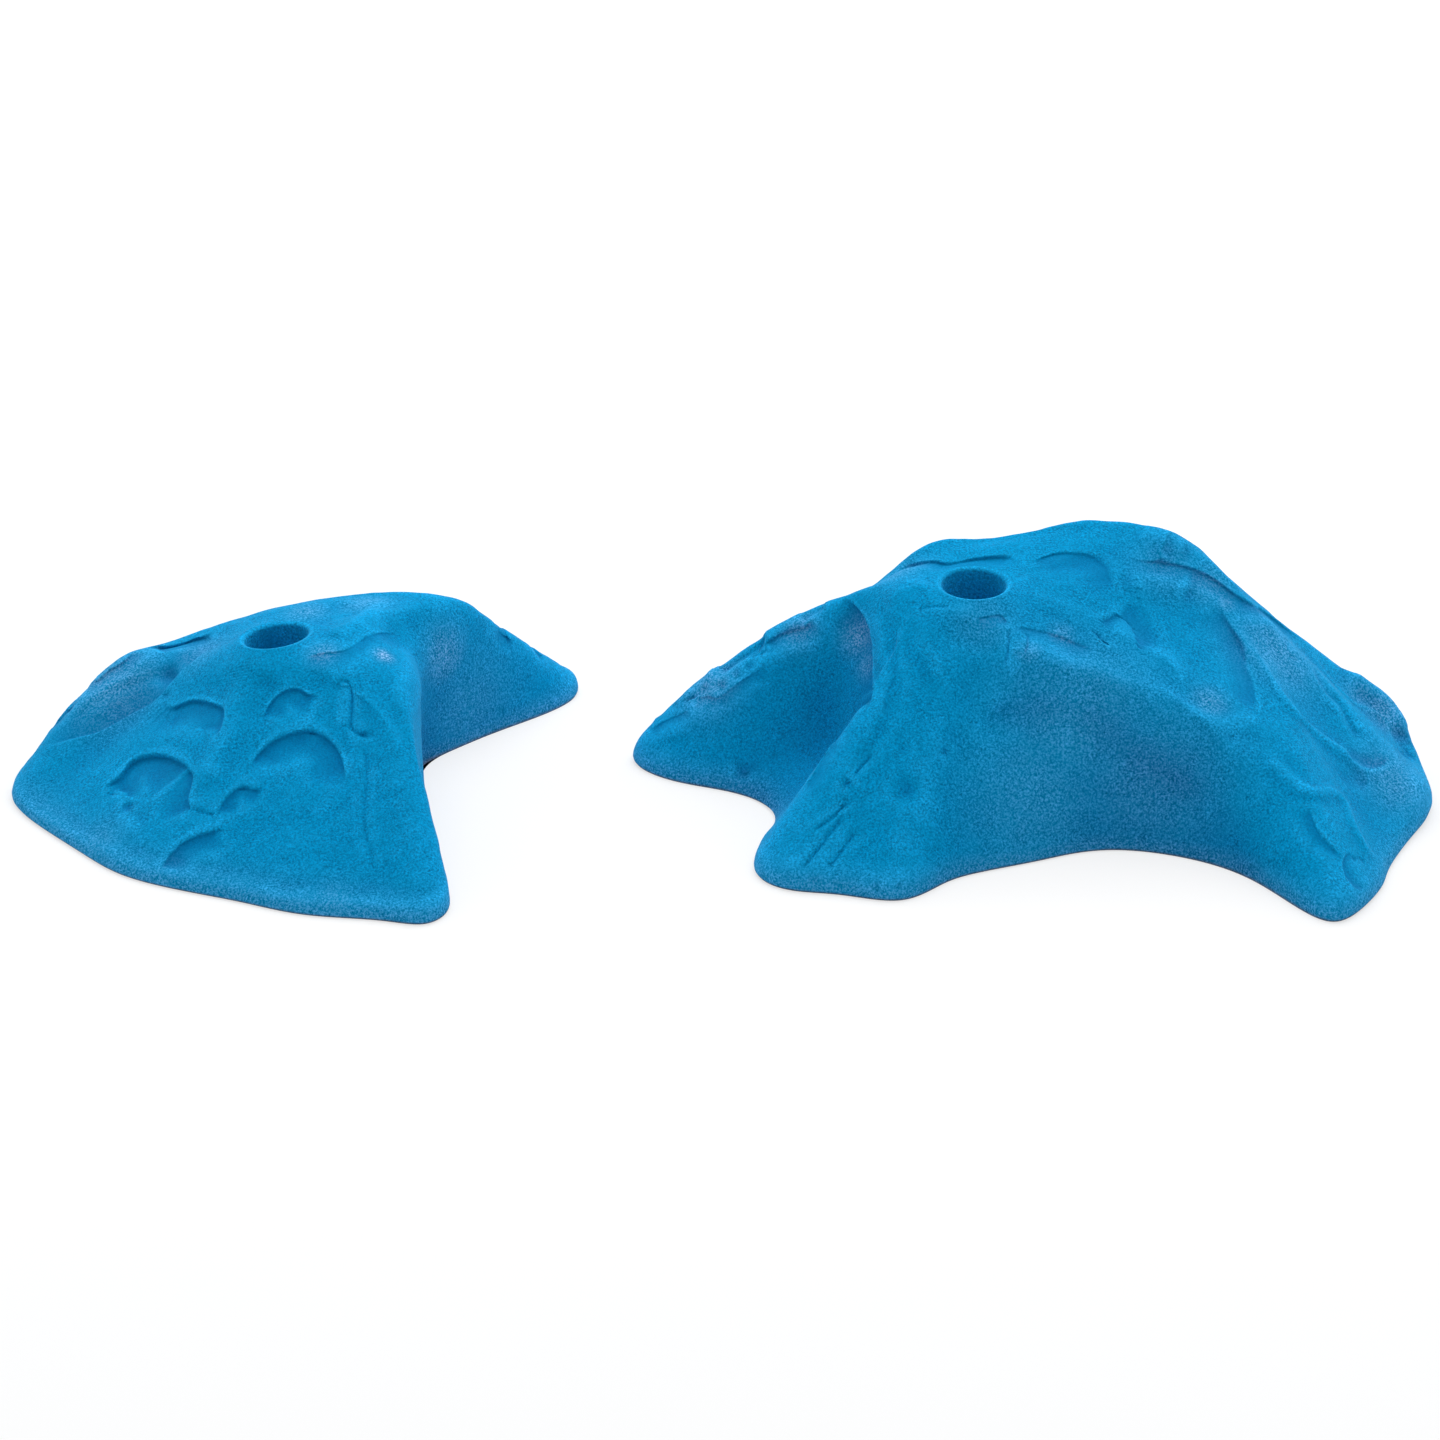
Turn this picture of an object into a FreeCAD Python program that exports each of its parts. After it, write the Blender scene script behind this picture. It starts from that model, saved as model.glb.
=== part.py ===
"""Two cast climbing holds: a large six-toed jug and a small four-toed edge.

Each hold is one polyurethane casting that is sculpted like weathered rock. A
steel washer is cast in on the seat of the counterbored bolt hole. Millimetres,
+Z away from the wall, so the flat backs of both holds lie on z = 0.

The outside of a hold is a skin of flat facets, as it is carved. Ribs run from
the foot, on the outline of the back, up a toe or a cove wall to the brow, and
over the crown to the mouth of the bolt hole. A closed curve goes through the
same place on every rib, and the facets fill the bands between these curves.
"""
import FreeCAD, Part
import math
import os

# The large hold: its outline, its height and the seat of its bolt head.
LARGE_LENGTH = 250.0
LARGE_WIDTH = 160.0
LARGE_HEIGHT = 80.0
LARGE_SEAT_HEIGHT = 30.0

# The small hold.
SMALL_LENGTH = 180.0
SMALL_WIDTH = 175.0
SMALL_HEIGHT = 55.0
SMALL_SEAT_HEIGHT = 25.0

# The bolt hole, the same in both: an M10 bolt with its head in a counterbore.
BOLT_HOLE_D = 11.0
HEAD_BORE_D = 20.0
WASHER_D = 24.0
WASHER_THICKNESS = 2.0

# The bevel round the mouth of the counterbore, and the flat land round that.
MOUTH_BEVEL = 1.0
MOUTH_LAND = 0.8

# The edge that a hand feels round the back: a small round, then a leaning lip.
EDGE_HEIGHT = 1.0
EDGE_INSET = 0.8
LIP_LEAN_SHARE = 0.15

# How the two stand in the set: the clear length between their toes along X,
# and how much further back the small hold's bolt is than the large one's.
SET_GAP = 19.5
SET_STAGGER = 5.4

CUT_OVERRUN = 5.0

# Height of the mouth over the back, and its tilt along X and Y.
LARGE_RIM_SHARE = 0.875
LARGE_TILT_SHARES = (0.0, 0.06)
SMALL_RIM_SHARE = 0.909
SMALL_TILT_SHARES = (0.12, -0.04)

# Where the rings cross a rib: up the wall from lip to brow, and over the crown
# from brow to apron. No ring lies on the brow itself, so its edge is blunt.
WALL_STEP_SHARES = (0.0, 0.12, 0.32, 0.55, 0.77, 0.92)
CROWN_STEP_SHARES = (0.2, 0.55, 1.0)

# A sag of one would take a wall down by its whole rise where it sags most.
SAG_SCALE = 27 / 4
BULGE_SCALE = 4

# Sides that a ring has between two ribs.
SIDES_PER_RIB = 3

# One row for each rib, anticlockwise from the right toe, seen from the front of
# the wall. Lengths along X are shares of the hold's length, along Y of its
# width and up Z of its height, all from the bolt's axis on the back:
#   foot x, foot y, lip z,  brow x, brow y, brow z,  sag of the wall,
#   bearing of the mouth in degrees, apron out from the mouth, apron z
LARGE_RIB_SHARES = (
    (0.576, 0.000, 0.085, 0.262, 0.150, 0.960, 0.00, 15, 0.151, 0.888),       # right toe
    (0.545, 0.120, 0.250, 0.254, 0.175, 0.978, 0.05, 22, 0.137, 0.912),
    (0.492, 0.206, 0.120, 0.232, 0.194, 0.980, 0.04, 26, 0.126, 0.925),
    (0.410, 0.244, 0.050, 0.214, 0.206, 0.985, 0.09, 32, 0.107, 0.931),       # back right cove
    (0.334, 0.325, 0.060, 0.194, 0.216, 0.980, 0.06, 38, 0.089, 0.931),
    (0.278, 0.412, 0.080, 0.170, 0.216, 0.978, 0.00, 44, 0.075, 0.931),       # back right toe
    (0.206, 0.438, 0.060, 0.138, 0.212, 0.969, 0.02, 53, 0.059, 0.925),
    (0.110, 0.338, 0.050, 0.086, 0.200, 0.942, 0.08, 65, 0.045, 0.919),       # back cove
    (0.006, 0.312, 0.050, 0.018, 0.188, 0.916, 0.10, 82, 0.035, 0.912),
    (-0.074, 0.362, 0.060, -0.026, 0.178, 0.928, 0.04, 102, 0.032, 0.906),
    (-0.146, 0.412, 0.080, -0.066, 0.166, 0.892, 0.00, 117, 0.032, 0.894),    # back left toe
    (-0.218, 0.362, 0.060, -0.106, 0.156, 0.790, 0.02, 132, 0.036, 0.881),
    (-0.274, 0.275, 0.050, -0.142, 0.150, 0.700, 0.02, 144, 0.041, 0.875),    # back left cove
    (-0.350, 0.225, 0.075, -0.160, 0.141, 0.685, 0.02, 154, 0.045, 0.862),
    (-0.404, 0.181, 0.080, -0.162, 0.119, 0.710, -0.13, 162, 0.049, 0.856),
    (-0.424, 0.112, 0.065, -0.158, 0.088, 0.745, -0.08, 168, 0.052, 0.852),   # left toe
    (-0.382, 0.031, 0.045, -0.144, 0.056, 0.765, 0.02, 175, 0.052, 0.848),
    (-0.318, -0.015, 0.038, -0.130, 0.019, 0.768, 0.18, 182, 0.052, 0.844),
    (-0.270, -0.065, 0.030, -0.120, -0.038, 0.738, 0.27, 189, 0.051, 0.838),  # left cove
    (-0.246, -0.142, 0.030, -0.118, -0.100, 0.655, 0.24, 198, 0.049, 0.819),
    (-0.256, -0.238, 0.035, -0.124, -0.160, 0.550, 0.08, 206, 0.045, 0.806),
    (-0.272, -0.372, 0.050, -0.142, -0.188, 0.520, -0.06, 214, 0.041, 0.806),
    (-0.234, -0.450, 0.060, -0.098, -0.156, 0.650, -0.02, 223, 0.034, 0.810),  # front left toe
    (-0.170, -0.472, 0.055, -0.062, -0.134, 0.725, 0.00, 235, 0.026, 0.820),
    (-0.098, -0.494, 0.050, -0.026, -0.134, 0.731, 0.00, 248, 0.022, 0.825),
    (-0.052, -0.438, 0.045, -0.002, -0.136, 0.714, -0.02, 262, 0.020, 0.822),
    (-0.014, -0.390, 0.038, 0.032, -0.152, 0.692, -0.06, 276, 0.020, 0.812),
    (0.066, -0.336, 0.038, 0.078, -0.176, 0.678, 0.06, 294, 0.028, 0.795),
    (0.118, -0.300, 0.038, 0.114, -0.192, 0.666, 0.12, 312, 0.038, 0.780),
    (0.174, -0.284, 0.038, 0.156, -0.200, 0.598, 0.17, 326, 0.052, 0.770),    # front cove
    (0.254, -0.316, 0.038, 0.224, -0.226, 0.540, 0.17, 335, 0.079, 0.750),
    (0.326, -0.400, 0.038, 0.284, -0.262, 0.490, 0.12, 340, 0.102, 0.745),
    (0.380, -0.530, 0.050, 0.340, -0.305, 0.405, 0.04, 344, 0.118, 0.745),
    (0.418, -0.581, 0.070, 0.378, -0.268, 0.430, -0.06, 347, 0.130, 0.748),   # front right toe
    (0.458, -0.520, 0.060, 0.380, -0.205, 0.480, -0.06, 351, 0.140, 0.752),
    (0.486, -0.436, 0.050, 0.376, -0.140, 0.530, -0.03, 355, 0.149, 0.765),
    (0.500, -0.366, 0.045, 0.362, -0.068, 0.595, -0.01, 360, 0.156, 0.788),    # notch
    (0.540, -0.230, 0.080, 0.332, 0.031, 0.735, 0.02, 365, 0.159, 0.820),
    (0.570, -0.125, 0.120, 0.292, 0.115, 0.885, 0.00, 370, 0.157, 0.856),
)
SMALL_RIB_SHARES = (
    (0.508, 0.366, 0.070, 0.303, 0.189, 0.885, -0.02, 30, 0.146, 0.925),       # right toe
    (0.482, 0.429, 0.075, 0.281, 0.206, 0.890, 0.01, 38, 0.135, 0.925),
    (0.392, 0.423, 0.070, 0.242, 0.217, 0.891, 0.04, 46, 0.122, 0.920),
    (0.242, 0.366, 0.060, 0.181, 0.209, 0.891, 0.08, 57, 0.106, 0.910),       # back cove
    (0.098, 0.354, 0.060, 0.092, 0.200, 0.865, 0.06, 70, 0.087, 0.900),
    (-0.036, 0.389, 0.080, -0.002, 0.189, 0.828, 0.00, 84, 0.072, 0.885),
    (-0.136, 0.389, 0.090, -0.063, 0.177, 0.792, 0.00, 101, 0.067, 0.864),    # back toe
    (-0.224, 0.314, 0.070, -0.124, 0.160, 0.752, 0.02, 118, 0.065, 0.836),
    (-0.324, 0.217, 0.070, -0.191, 0.143, 0.705, 0.04, 133, 0.067, 0.809),
    (-0.404, 0.114, 0.090, -0.247, 0.120, 0.665, -0.12, 148, 0.071, 0.773),
    (-0.446, 0.023, 0.080, -0.274, 0.080, 0.655, -0.15, 161, 0.071, 0.755),
    (-0.466, -0.073, 0.070, -0.270, 0.023, 0.555, -0.10, 173, 0.071, 0.745),  # left toe
    (-0.432, -0.158, 0.050, -0.247, -0.017, 0.473, 0.00, 184, 0.067, 0.745),
    (-0.380, -0.228, 0.045, -0.208, -0.034, 0.527, 0.00, 194, 0.059, 0.755),
    (-0.313, -0.310, 0.040, -0.158, -0.057, 0.609, 0.00, 206, 0.048, 0.773),
    (-0.236, -0.390, 0.040, -0.102, -0.086, 0.691, 0.00, 222, 0.039, 0.800),
    (-0.124, -0.450, 0.040, -0.047, -0.114, 0.736, 0.00, 239, 0.031, 0.830),
    (-0.024, -0.492, 0.040, -0.002, -0.126, 0.755, 0.00, 255, 0.031, 0.842),
    (0.076, -0.535, 0.040, 0.042, -0.143, 0.770, 0.00, 272, 0.033, 0.850),
    (0.209, -0.558, 0.050, 0.142, -0.171, 0.775, 0.00, 297, 0.047, 0.873),
    (0.288, -0.568, 0.070, 0.212, -0.240, 0.705, -0.02, 315, 0.075, 0.900),   # front toe
    (0.320, -0.510, 0.080, 0.245, -0.274, 0.640, -0.02, 327, 0.098, 0.920),
    (0.295, -0.385, 0.050, 0.247, -0.229, 0.730, 0.02, 336, 0.110, 0.930),
    (0.268, -0.229, 0.040, 0.250, -0.149, 0.790, 0.04, 344, 0.112, 0.940),
    (0.246, -0.069, 0.040, 0.250, -0.057, 0.785, 0.06, 353, 0.108, 0.950),
    (0.238, 0.048, 0.040, 0.246, 0.034, 0.720, 0.08, 362, 0.104, 0.955),      # right cove
    (0.275, 0.103, 0.040, 0.266, 0.088, 0.700, 0.07, 371, 0.112, 0.955),
    (0.364, 0.197, 0.040, 0.294, 0.128, 0.740, 0.06, 379, 0.128, 0.950),
    (0.450, 0.277, 0.050, 0.306, 0.160, 0.825, 0.04, 384, 0.142, 0.940),
)


def vector_between(start, end, share):
    """The point that lies this share of the way from start to end."""
    return start + (end - start) * share


def sag_at(share, sag):
    """How far a wall hangs below a straight line, as a share of its rise.

    A hollow wall hangs most two thirds of the way up. A sag below zero makes it
    bulge instead, most of all half way up.
    """
    if sag > 0:
        return SAG_SCALE * sag * share ** 2 * (1 - share)
    return BULGE_SCALE * sag * share * (1 - share)


def rib_points(rib_shares, length, width, height, rim_height, tilt_shares):
    """Points of one rib, from the back edge up and over to the bolt hole's mouth."""
    (foot_x, foot_y, lip_z, brow_x, brow_y, brow_z, sag, bearing, apron, apron_z) = rib_shares
    foot = FreeCAD.Vector(foot_x * length, foot_y * width, 0)
    brow = FreeCAD.Vector(brow_x * length, brow_y * width, brow_z * height)
    out = FreeCAD.Vector(math.cos(math.radians(bearing)), math.sin(math.radians(bearing)), 0)
    inward = FreeCAD.Vector(brow.x - foot.x, brow.y - foot.y, 0).normalize()

    lip = foot + inward * lip_z * height * LIP_LEAN_SHARE
    lip.z = lip_z * height
    points = [foot + inward * EDGE_INSET, foot + FreeCAD.Vector(0, 0, EDGE_HEIGHT)]
    for share in WALL_STEP_SHARES:
        point = vector_between(lip, brow, share)
        point.z -= sag_at(share, sag) * (brow.z - lip.z)
        points.append(point)

    mouth_r = HEAD_BORE_D / 2 + MOUTH_BEVEL + MOUTH_LAND
    apron_end = out * (mouth_r + apron * length)
    apron_end.z = apron_z * height
    for share in CROWN_STEP_SHARES:
        points.append(vector_between(brow, apron_end, share))

    mouth = out * mouth_r
    mouth.z = rim_height + mouth.x * tilt_shares[0] + mouth.y * tilt_shares[1]
    points.append(mouth)
    return points


def ring_parameters(ribs):
    """Parameters of the ribs round every ring, from their mean spacing."""
    steps = [0.0]
    for here, there in zip(ribs, ribs[1:] + ribs[:1]):
        spacing = sum((b - a).Length for a, b in zip(here, there)) / len(here)
        steps.append(steps[-1] + math.sqrt(spacing))
    return steps


def ring_corners(points, parameters):
    """Corners of one ring, on the smooth closed curve through the ribs' points."""
    curve = Part.BSplineCurve()
    curve.interpolate(Points=list(points), PeriodicFlag=True, Parameters=parameters)
    corners = []
    for start, end in zip(parameters, parameters[1:]):
        for side in range(SIDES_PER_RIB):
            corners.append(curve.value(start + (end - start) * side / SIDES_PER_RIB))
    return corners


def flat_face(*corners):
    """The flat face with these corners."""
    return Part.Face(Part.makePolygon([*corners, corners[0]]))


def band_facets(lower, upper):
    """Two facets for each side of a band, split along its shorter diagonal."""
    facets = []
    for index, (a, d) in enumerate(zip(lower, upper)):
        b = lower[(index + 1) % len(lower)]
        c = upper[(index + 1) % len(upper)]
        if (c - a).Length < (d - b).Length:
            facets += [flat_face(a, b, c), flat_face(a, c, d)]
        else:
            facets += [flat_face(a, b, d), flat_face(b, c, d)]
    return facets


def outer_form(rib_shares, length, width, height, rim_height, tilt_shares):
    """The sculpted outside as a solid, closed by the back and the mouth's land."""
    ribs = [rib_points(row, length, width, height, rim_height, tilt_shares)
            for row in rib_shares]
    parameters = ring_parameters(ribs)
    rings = [ring_corners(points, parameters) for points in zip(*ribs)]
    facets = [flat_face(*rings[0]), flat_face(*rings[-1])]
    for lower, upper in zip(rings, rings[1:]):
        facets += band_facets(lower, upper)
    return Part.Solid(Part.Shell(facets))


def washer(seat_height):
    """The flat steel ring that carries the bolt's head."""
    base = FreeCAD.Vector(0, 0, seat_height)
    disc = Part.makeCylinder(WASHER_D / 2, WASHER_THICKNESS, base)
    hole = Part.makeCylinder(BOLT_HOLE_D / 2, WASHER_THICKNESS, base)
    return disc.cut(hole)


def mouth_cone(rim_height, tilt_shares):
    """The cone that bevels the mouth evenly, square to its tilted land.

    It leans out at 45 degrees, starts inside the bore and ends above the land.
    """
    square = FreeCAD.Vector(-tilt_shares[0], -tilt_shares[1], 1).normalize()
    start = FreeCAD.Vector(0, 0, rim_height) - square * 2 * MOUTH_BEVEL
    low_r = HEAD_BORE_D / 2 - MOUTH_BEVEL
    rise = 3 * MOUTH_BEVEL
    return Part.makeCone(low_r, low_r + rise, rise, start, square)


def casting(form, seat_height, rim_height, tilt_shares):
    """The form with its bolt hole, bevelled counterbore and washer's pocket."""
    start = FreeCAD.Vector(0, 0, -CUT_OVERRUN)
    bolt_hole = Part.makeCylinder(BOLT_HOLE_D / 2, seat_height + 2 * CUT_OVERRUN, start)
    pocket = Part.makeCylinder(WASHER_D / 2, WASHER_THICKNESS, FreeCAD.Vector(0, 0, seat_height))
    top = FreeCAD.Vector(0, 0, seat_height + WASHER_THICKNESS)
    head_bore = Part.makeCylinder(HEAD_BORE_D / 2, rim_height + CUT_OVERRUN - top.z, top)
    cuts = [bolt_hole, pocket, head_bore, mouth_cone(rim_height, tilt_shares)]
    return form.cut(cuts)


def hold(rib_shares, length, width, height, rim_share, tilt_shares, seat_height):
    """One hold about its bolt's axis: the casting and the washer in it."""
    rim_height = rim_share * height
    form = outer_form(rib_shares, length, width, height, rim_height, tilt_shares)
    return casting(form, seat_height, rim_height, tilt_shares), washer(seat_height)


def build():
    large_body, large_washer = hold(LARGE_RIB_SHARES, LARGE_LENGTH, LARGE_WIDTH, LARGE_HEIGHT,
                                    LARGE_RIM_SHARE, LARGE_TILT_SHARES, LARGE_SEAT_HEIGHT)
    small_body, small_washer = hold(SMALL_RIB_SHARES, SMALL_LENGTH, SMALL_WIDTH, SMALL_HEIGHT,
                                    SMALL_RIM_SHARE, SMALL_TILT_SHARES, SMALL_SEAT_HEIGHT)
    pieces = {
        "large_hold_body": large_body,
        "large_hold_washer": large_washer,
        "small_hold_body": small_body,
        "small_hold_washer": small_washer,
    }

    # The small hold stands to the left, with its right toe SET_GAP clear of
    # the large hold's left toe, and the set is centred on its own box.
    large_box = large_body.optimalBoundingBox(False)
    small_box = small_body.optimalBoundingBox(False)
    small_place = FreeCAD.Vector(large_box.XMin - SET_GAP - small_box.XMax, SET_STAGGER, 0)
    small_box.move(small_place)
    large_box.add(small_box)
    centre = FreeCAD.Vector(large_box.Center.x, large_box.Center.y, large_box.ZMin)
    for name, shape in pieces.items():
        place = small_place if name.startswith("small") else FreeCAD.Vector()
        shape.translate(place - centre)
    return pieces


def main():
    os.makedirs("parts", exist_ok=True)
    for name, shape in build().items():
        box = shape.optimalBoundingBox(False)
        print(name, "valid", shape.isValid(), "solids", len(shape.Solids),
              "volume %.1f" % shape.Volume,
              "box %.1f %.1f %.1f to %.1f %.1f %.1f" % (box.XMin, box.YMin, box.ZMin,
                                                         box.XMax, box.YMax, box.ZMax))
        shape.exportStep("parts/" + name + ".step")


main()
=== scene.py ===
"""Two cast climbing holds, a large jug and a small edge, with their carved and sandy finish.

The file is laid out as a Blender add-on and runs as a script. The outside of each
hold is the smooth form through its ribs, cut by the chips, ledges and grooves that
a carver leaves. Lengths are metres, and a value in millimetres is multiplied by MM.
"""
import math

import bpy
import numpy as np
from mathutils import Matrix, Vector
from mathutils.bvhtree import BVHTree


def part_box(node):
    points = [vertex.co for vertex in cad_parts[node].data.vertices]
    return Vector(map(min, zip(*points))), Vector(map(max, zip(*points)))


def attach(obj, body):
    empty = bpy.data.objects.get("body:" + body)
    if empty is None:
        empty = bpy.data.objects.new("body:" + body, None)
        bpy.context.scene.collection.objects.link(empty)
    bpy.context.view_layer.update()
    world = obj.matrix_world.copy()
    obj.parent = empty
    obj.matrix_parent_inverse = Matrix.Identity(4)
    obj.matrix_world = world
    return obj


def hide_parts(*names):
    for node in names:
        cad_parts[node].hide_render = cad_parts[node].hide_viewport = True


bl_info = {
    "name": "Climbing Holds",
    "version": (1, 0, 0),
    "blender": (4, 5, 0),
    "location": "View3D > Sidebar > Climbing Holds",
    "description": "Carved, sand-textured castings of a large and a small climbing hold",
    "category": "Object",
}

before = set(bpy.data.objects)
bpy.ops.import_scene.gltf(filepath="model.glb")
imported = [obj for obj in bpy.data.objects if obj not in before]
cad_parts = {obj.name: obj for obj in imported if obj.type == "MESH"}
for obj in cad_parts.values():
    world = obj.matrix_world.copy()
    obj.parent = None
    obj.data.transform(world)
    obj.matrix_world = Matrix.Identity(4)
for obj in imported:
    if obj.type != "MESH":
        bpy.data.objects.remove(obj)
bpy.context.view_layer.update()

MM = 0.001

# The camera: the view of the photograph, 1440 pixels square, at 0.31 mm a pixel.
PHOTO_SIDE_PX = 1440
PIXEL_SIZE = 0.31 * MM
CAMERA_DISTANCE = 1.4
CAMERA_ELEVATION = math.radians(25)
SENSOR_WIDTH = 36 * MM
TARGET_HEIGHT = 30 * MM
LARGE_AXIS_FROM_TARGET = (78.5 * MM, 14.6 * MM)

# Sizes that the castings take from the construction.
BOLT_HOLE_R = 5.5 * MM
HEAD_BORE_R = 10 * MM
MOUTH_R = 11.8 * MM
MOUTH_ROUND = 1.2 * MM
MOUTH_ROUND_ROWS = 5
BACK_RING_COUNT = 2
WASHER_R = 12 * MM
WASHER_THICKNESS = 2 * MM
EDGE_HEIGHT = 1 * MM
EDGE_INSET = 0.8 * MM
LIP_LEAN_SHARE = 0.15
WALL_STEP_SHARES = (0.0, 0.12, 0.32, 0.55, 0.77, 0.92)
CROWN_STEP_SHARES = (0.2, 0.55, 1.0)
# A sag or a bulge of 1 is as deep as its wall is high.
SAG_SCALE = 27 / 4
BULGE_SCALE = 4

# One row for each rib, anticlockwise from the right toe, all from the bolt's axis:
#   foot x, foot y, lip z,  brow x, brow y, brow z,  sag of the wall,
#   bearing of the mouth in degrees, apron out from the mouth, apron z
LARGE_RIB_SHARES = (
    (0.576, 0.000, 0.085, 0.262, 0.150, 0.960, 0.00, 15, 0.151, 0.888),       # right toe
    (0.545, 0.120, 0.250, 0.254, 0.175, 0.978, 0.05, 22, 0.137, 0.912),
    (0.492, 0.206, 0.120, 0.232, 0.194, 0.980, 0.04, 26, 0.126, 0.925),
    (0.410, 0.244, 0.050, 0.214, 0.206, 0.985, 0.09, 32, 0.107, 0.931),       # back right cove
    (0.334, 0.325, 0.060, 0.194, 0.216, 0.980, 0.06, 38, 0.089, 0.931),
    (0.278, 0.412, 0.080, 0.170, 0.216, 0.978, 0.00, 44, 0.075, 0.931),       # back right toe
    (0.206, 0.438, 0.060, 0.138, 0.212, 0.969, 0.02, 53, 0.059, 0.925),
    (0.110, 0.338, 0.050, 0.086, 0.200, 0.942, 0.08, 65, 0.045, 0.919),       # back cove
    (0.006, 0.312, 0.050, 0.018, 0.188, 0.916, 0.10, 82, 0.035, 0.912),
    (-0.074, 0.362, 0.060, -0.026, 0.178, 0.928, 0.04, 102, 0.032, 0.906),
    (-0.146, 0.412, 0.080, -0.066, 0.166, 0.892, 0.00, 117, 0.032, 0.894),    # back left toe
    (-0.218, 0.362, 0.060, -0.106, 0.156, 0.790, 0.02, 132, 0.036, 0.881),
    (-0.274, 0.275, 0.050, -0.142, 0.150, 0.700, 0.02, 144, 0.041, 0.875),    # back left cove
    (-0.350, 0.225, 0.075, -0.160, 0.141, 0.685, 0.02, 154, 0.045, 0.862),
    (-0.404, 0.181, 0.080, -0.162, 0.119, 0.710, -0.13, 162, 0.049, 0.856),
    (-0.424, 0.112, 0.065, -0.158, 0.088, 0.745, -0.08, 168, 0.052, 0.852),   # left toe
    (-0.382, 0.031, 0.045, -0.144, 0.056, 0.765, 0.02, 175, 0.052, 0.848),
    (-0.318, -0.015, 0.038, -0.130, 0.019, 0.768, 0.18, 182, 0.052, 0.844),
    (-0.270, -0.065, 0.030, -0.120, -0.038, 0.738, 0.27, 189, 0.051, 0.838),  # left cove
    (-0.246, -0.142, 0.030, -0.118, -0.100, 0.655, 0.24, 198, 0.049, 0.819),
    (-0.256, -0.238, 0.035, -0.124, -0.160, 0.550, 0.08, 206, 0.045, 0.806),
    (-0.272, -0.372, 0.050, -0.142, -0.188, 0.520, -0.06, 214, 0.041, 0.806),
    (-0.234, -0.450, 0.060, -0.098, -0.156, 0.650, -0.02, 223, 0.034, 0.810),  # front left toe
    (-0.170, -0.472, 0.055, -0.062, -0.134, 0.725, 0.00, 235, 0.026, 0.820),
    (-0.098, -0.494, 0.050, -0.026, -0.134, 0.731, 0.00, 248, 0.022, 0.825),
    (-0.052, -0.438, 0.045, -0.002, -0.136, 0.714, -0.02, 262, 0.020, 0.822),
    (-0.014, -0.390, 0.038, 0.032, -0.152, 0.692, -0.06, 276, 0.020, 0.812),
    (0.066, -0.336, 0.038, 0.078, -0.176, 0.678, 0.06, 294, 0.028, 0.795),
    (0.118, -0.300, 0.038, 0.114, -0.192, 0.666, 0.12, 312, 0.038, 0.780),
    (0.174, -0.284, 0.038, 0.156, -0.200, 0.598, 0.17, 326, 0.052, 0.770),    # front cove
    (0.254, -0.316, 0.038, 0.224, -0.226, 0.540, 0.17, 335, 0.079, 0.750),
    (0.326, -0.400, 0.038, 0.284, -0.262, 0.490, 0.12, 340, 0.102, 0.745),
    (0.380, -0.530, 0.050, 0.340, -0.305, 0.405, 0.04, 344, 0.118, 0.745),
    (0.418, -0.581, 0.070, 0.378, -0.268, 0.430, -0.06, 347, 0.130, 0.748),   # front right toe
    (0.458, -0.520, 0.060, 0.380, -0.205, 0.480, -0.06, 351, 0.140, 0.752),
    (0.486, -0.436, 0.050, 0.376, -0.140, 0.530, -0.03, 355, 0.149, 0.765),
    (0.500, -0.366, 0.045, 0.362, -0.068, 0.595, -0.01, 360, 0.156, 0.788),    # notch
    (0.540, -0.230, 0.080, 0.332, 0.031, 0.735, 0.02, 365, 0.159, 0.820),
    (0.570, -0.125, 0.120, 0.292, 0.115, 0.885, 0.00, 370, 0.157, 0.856),
)
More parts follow.
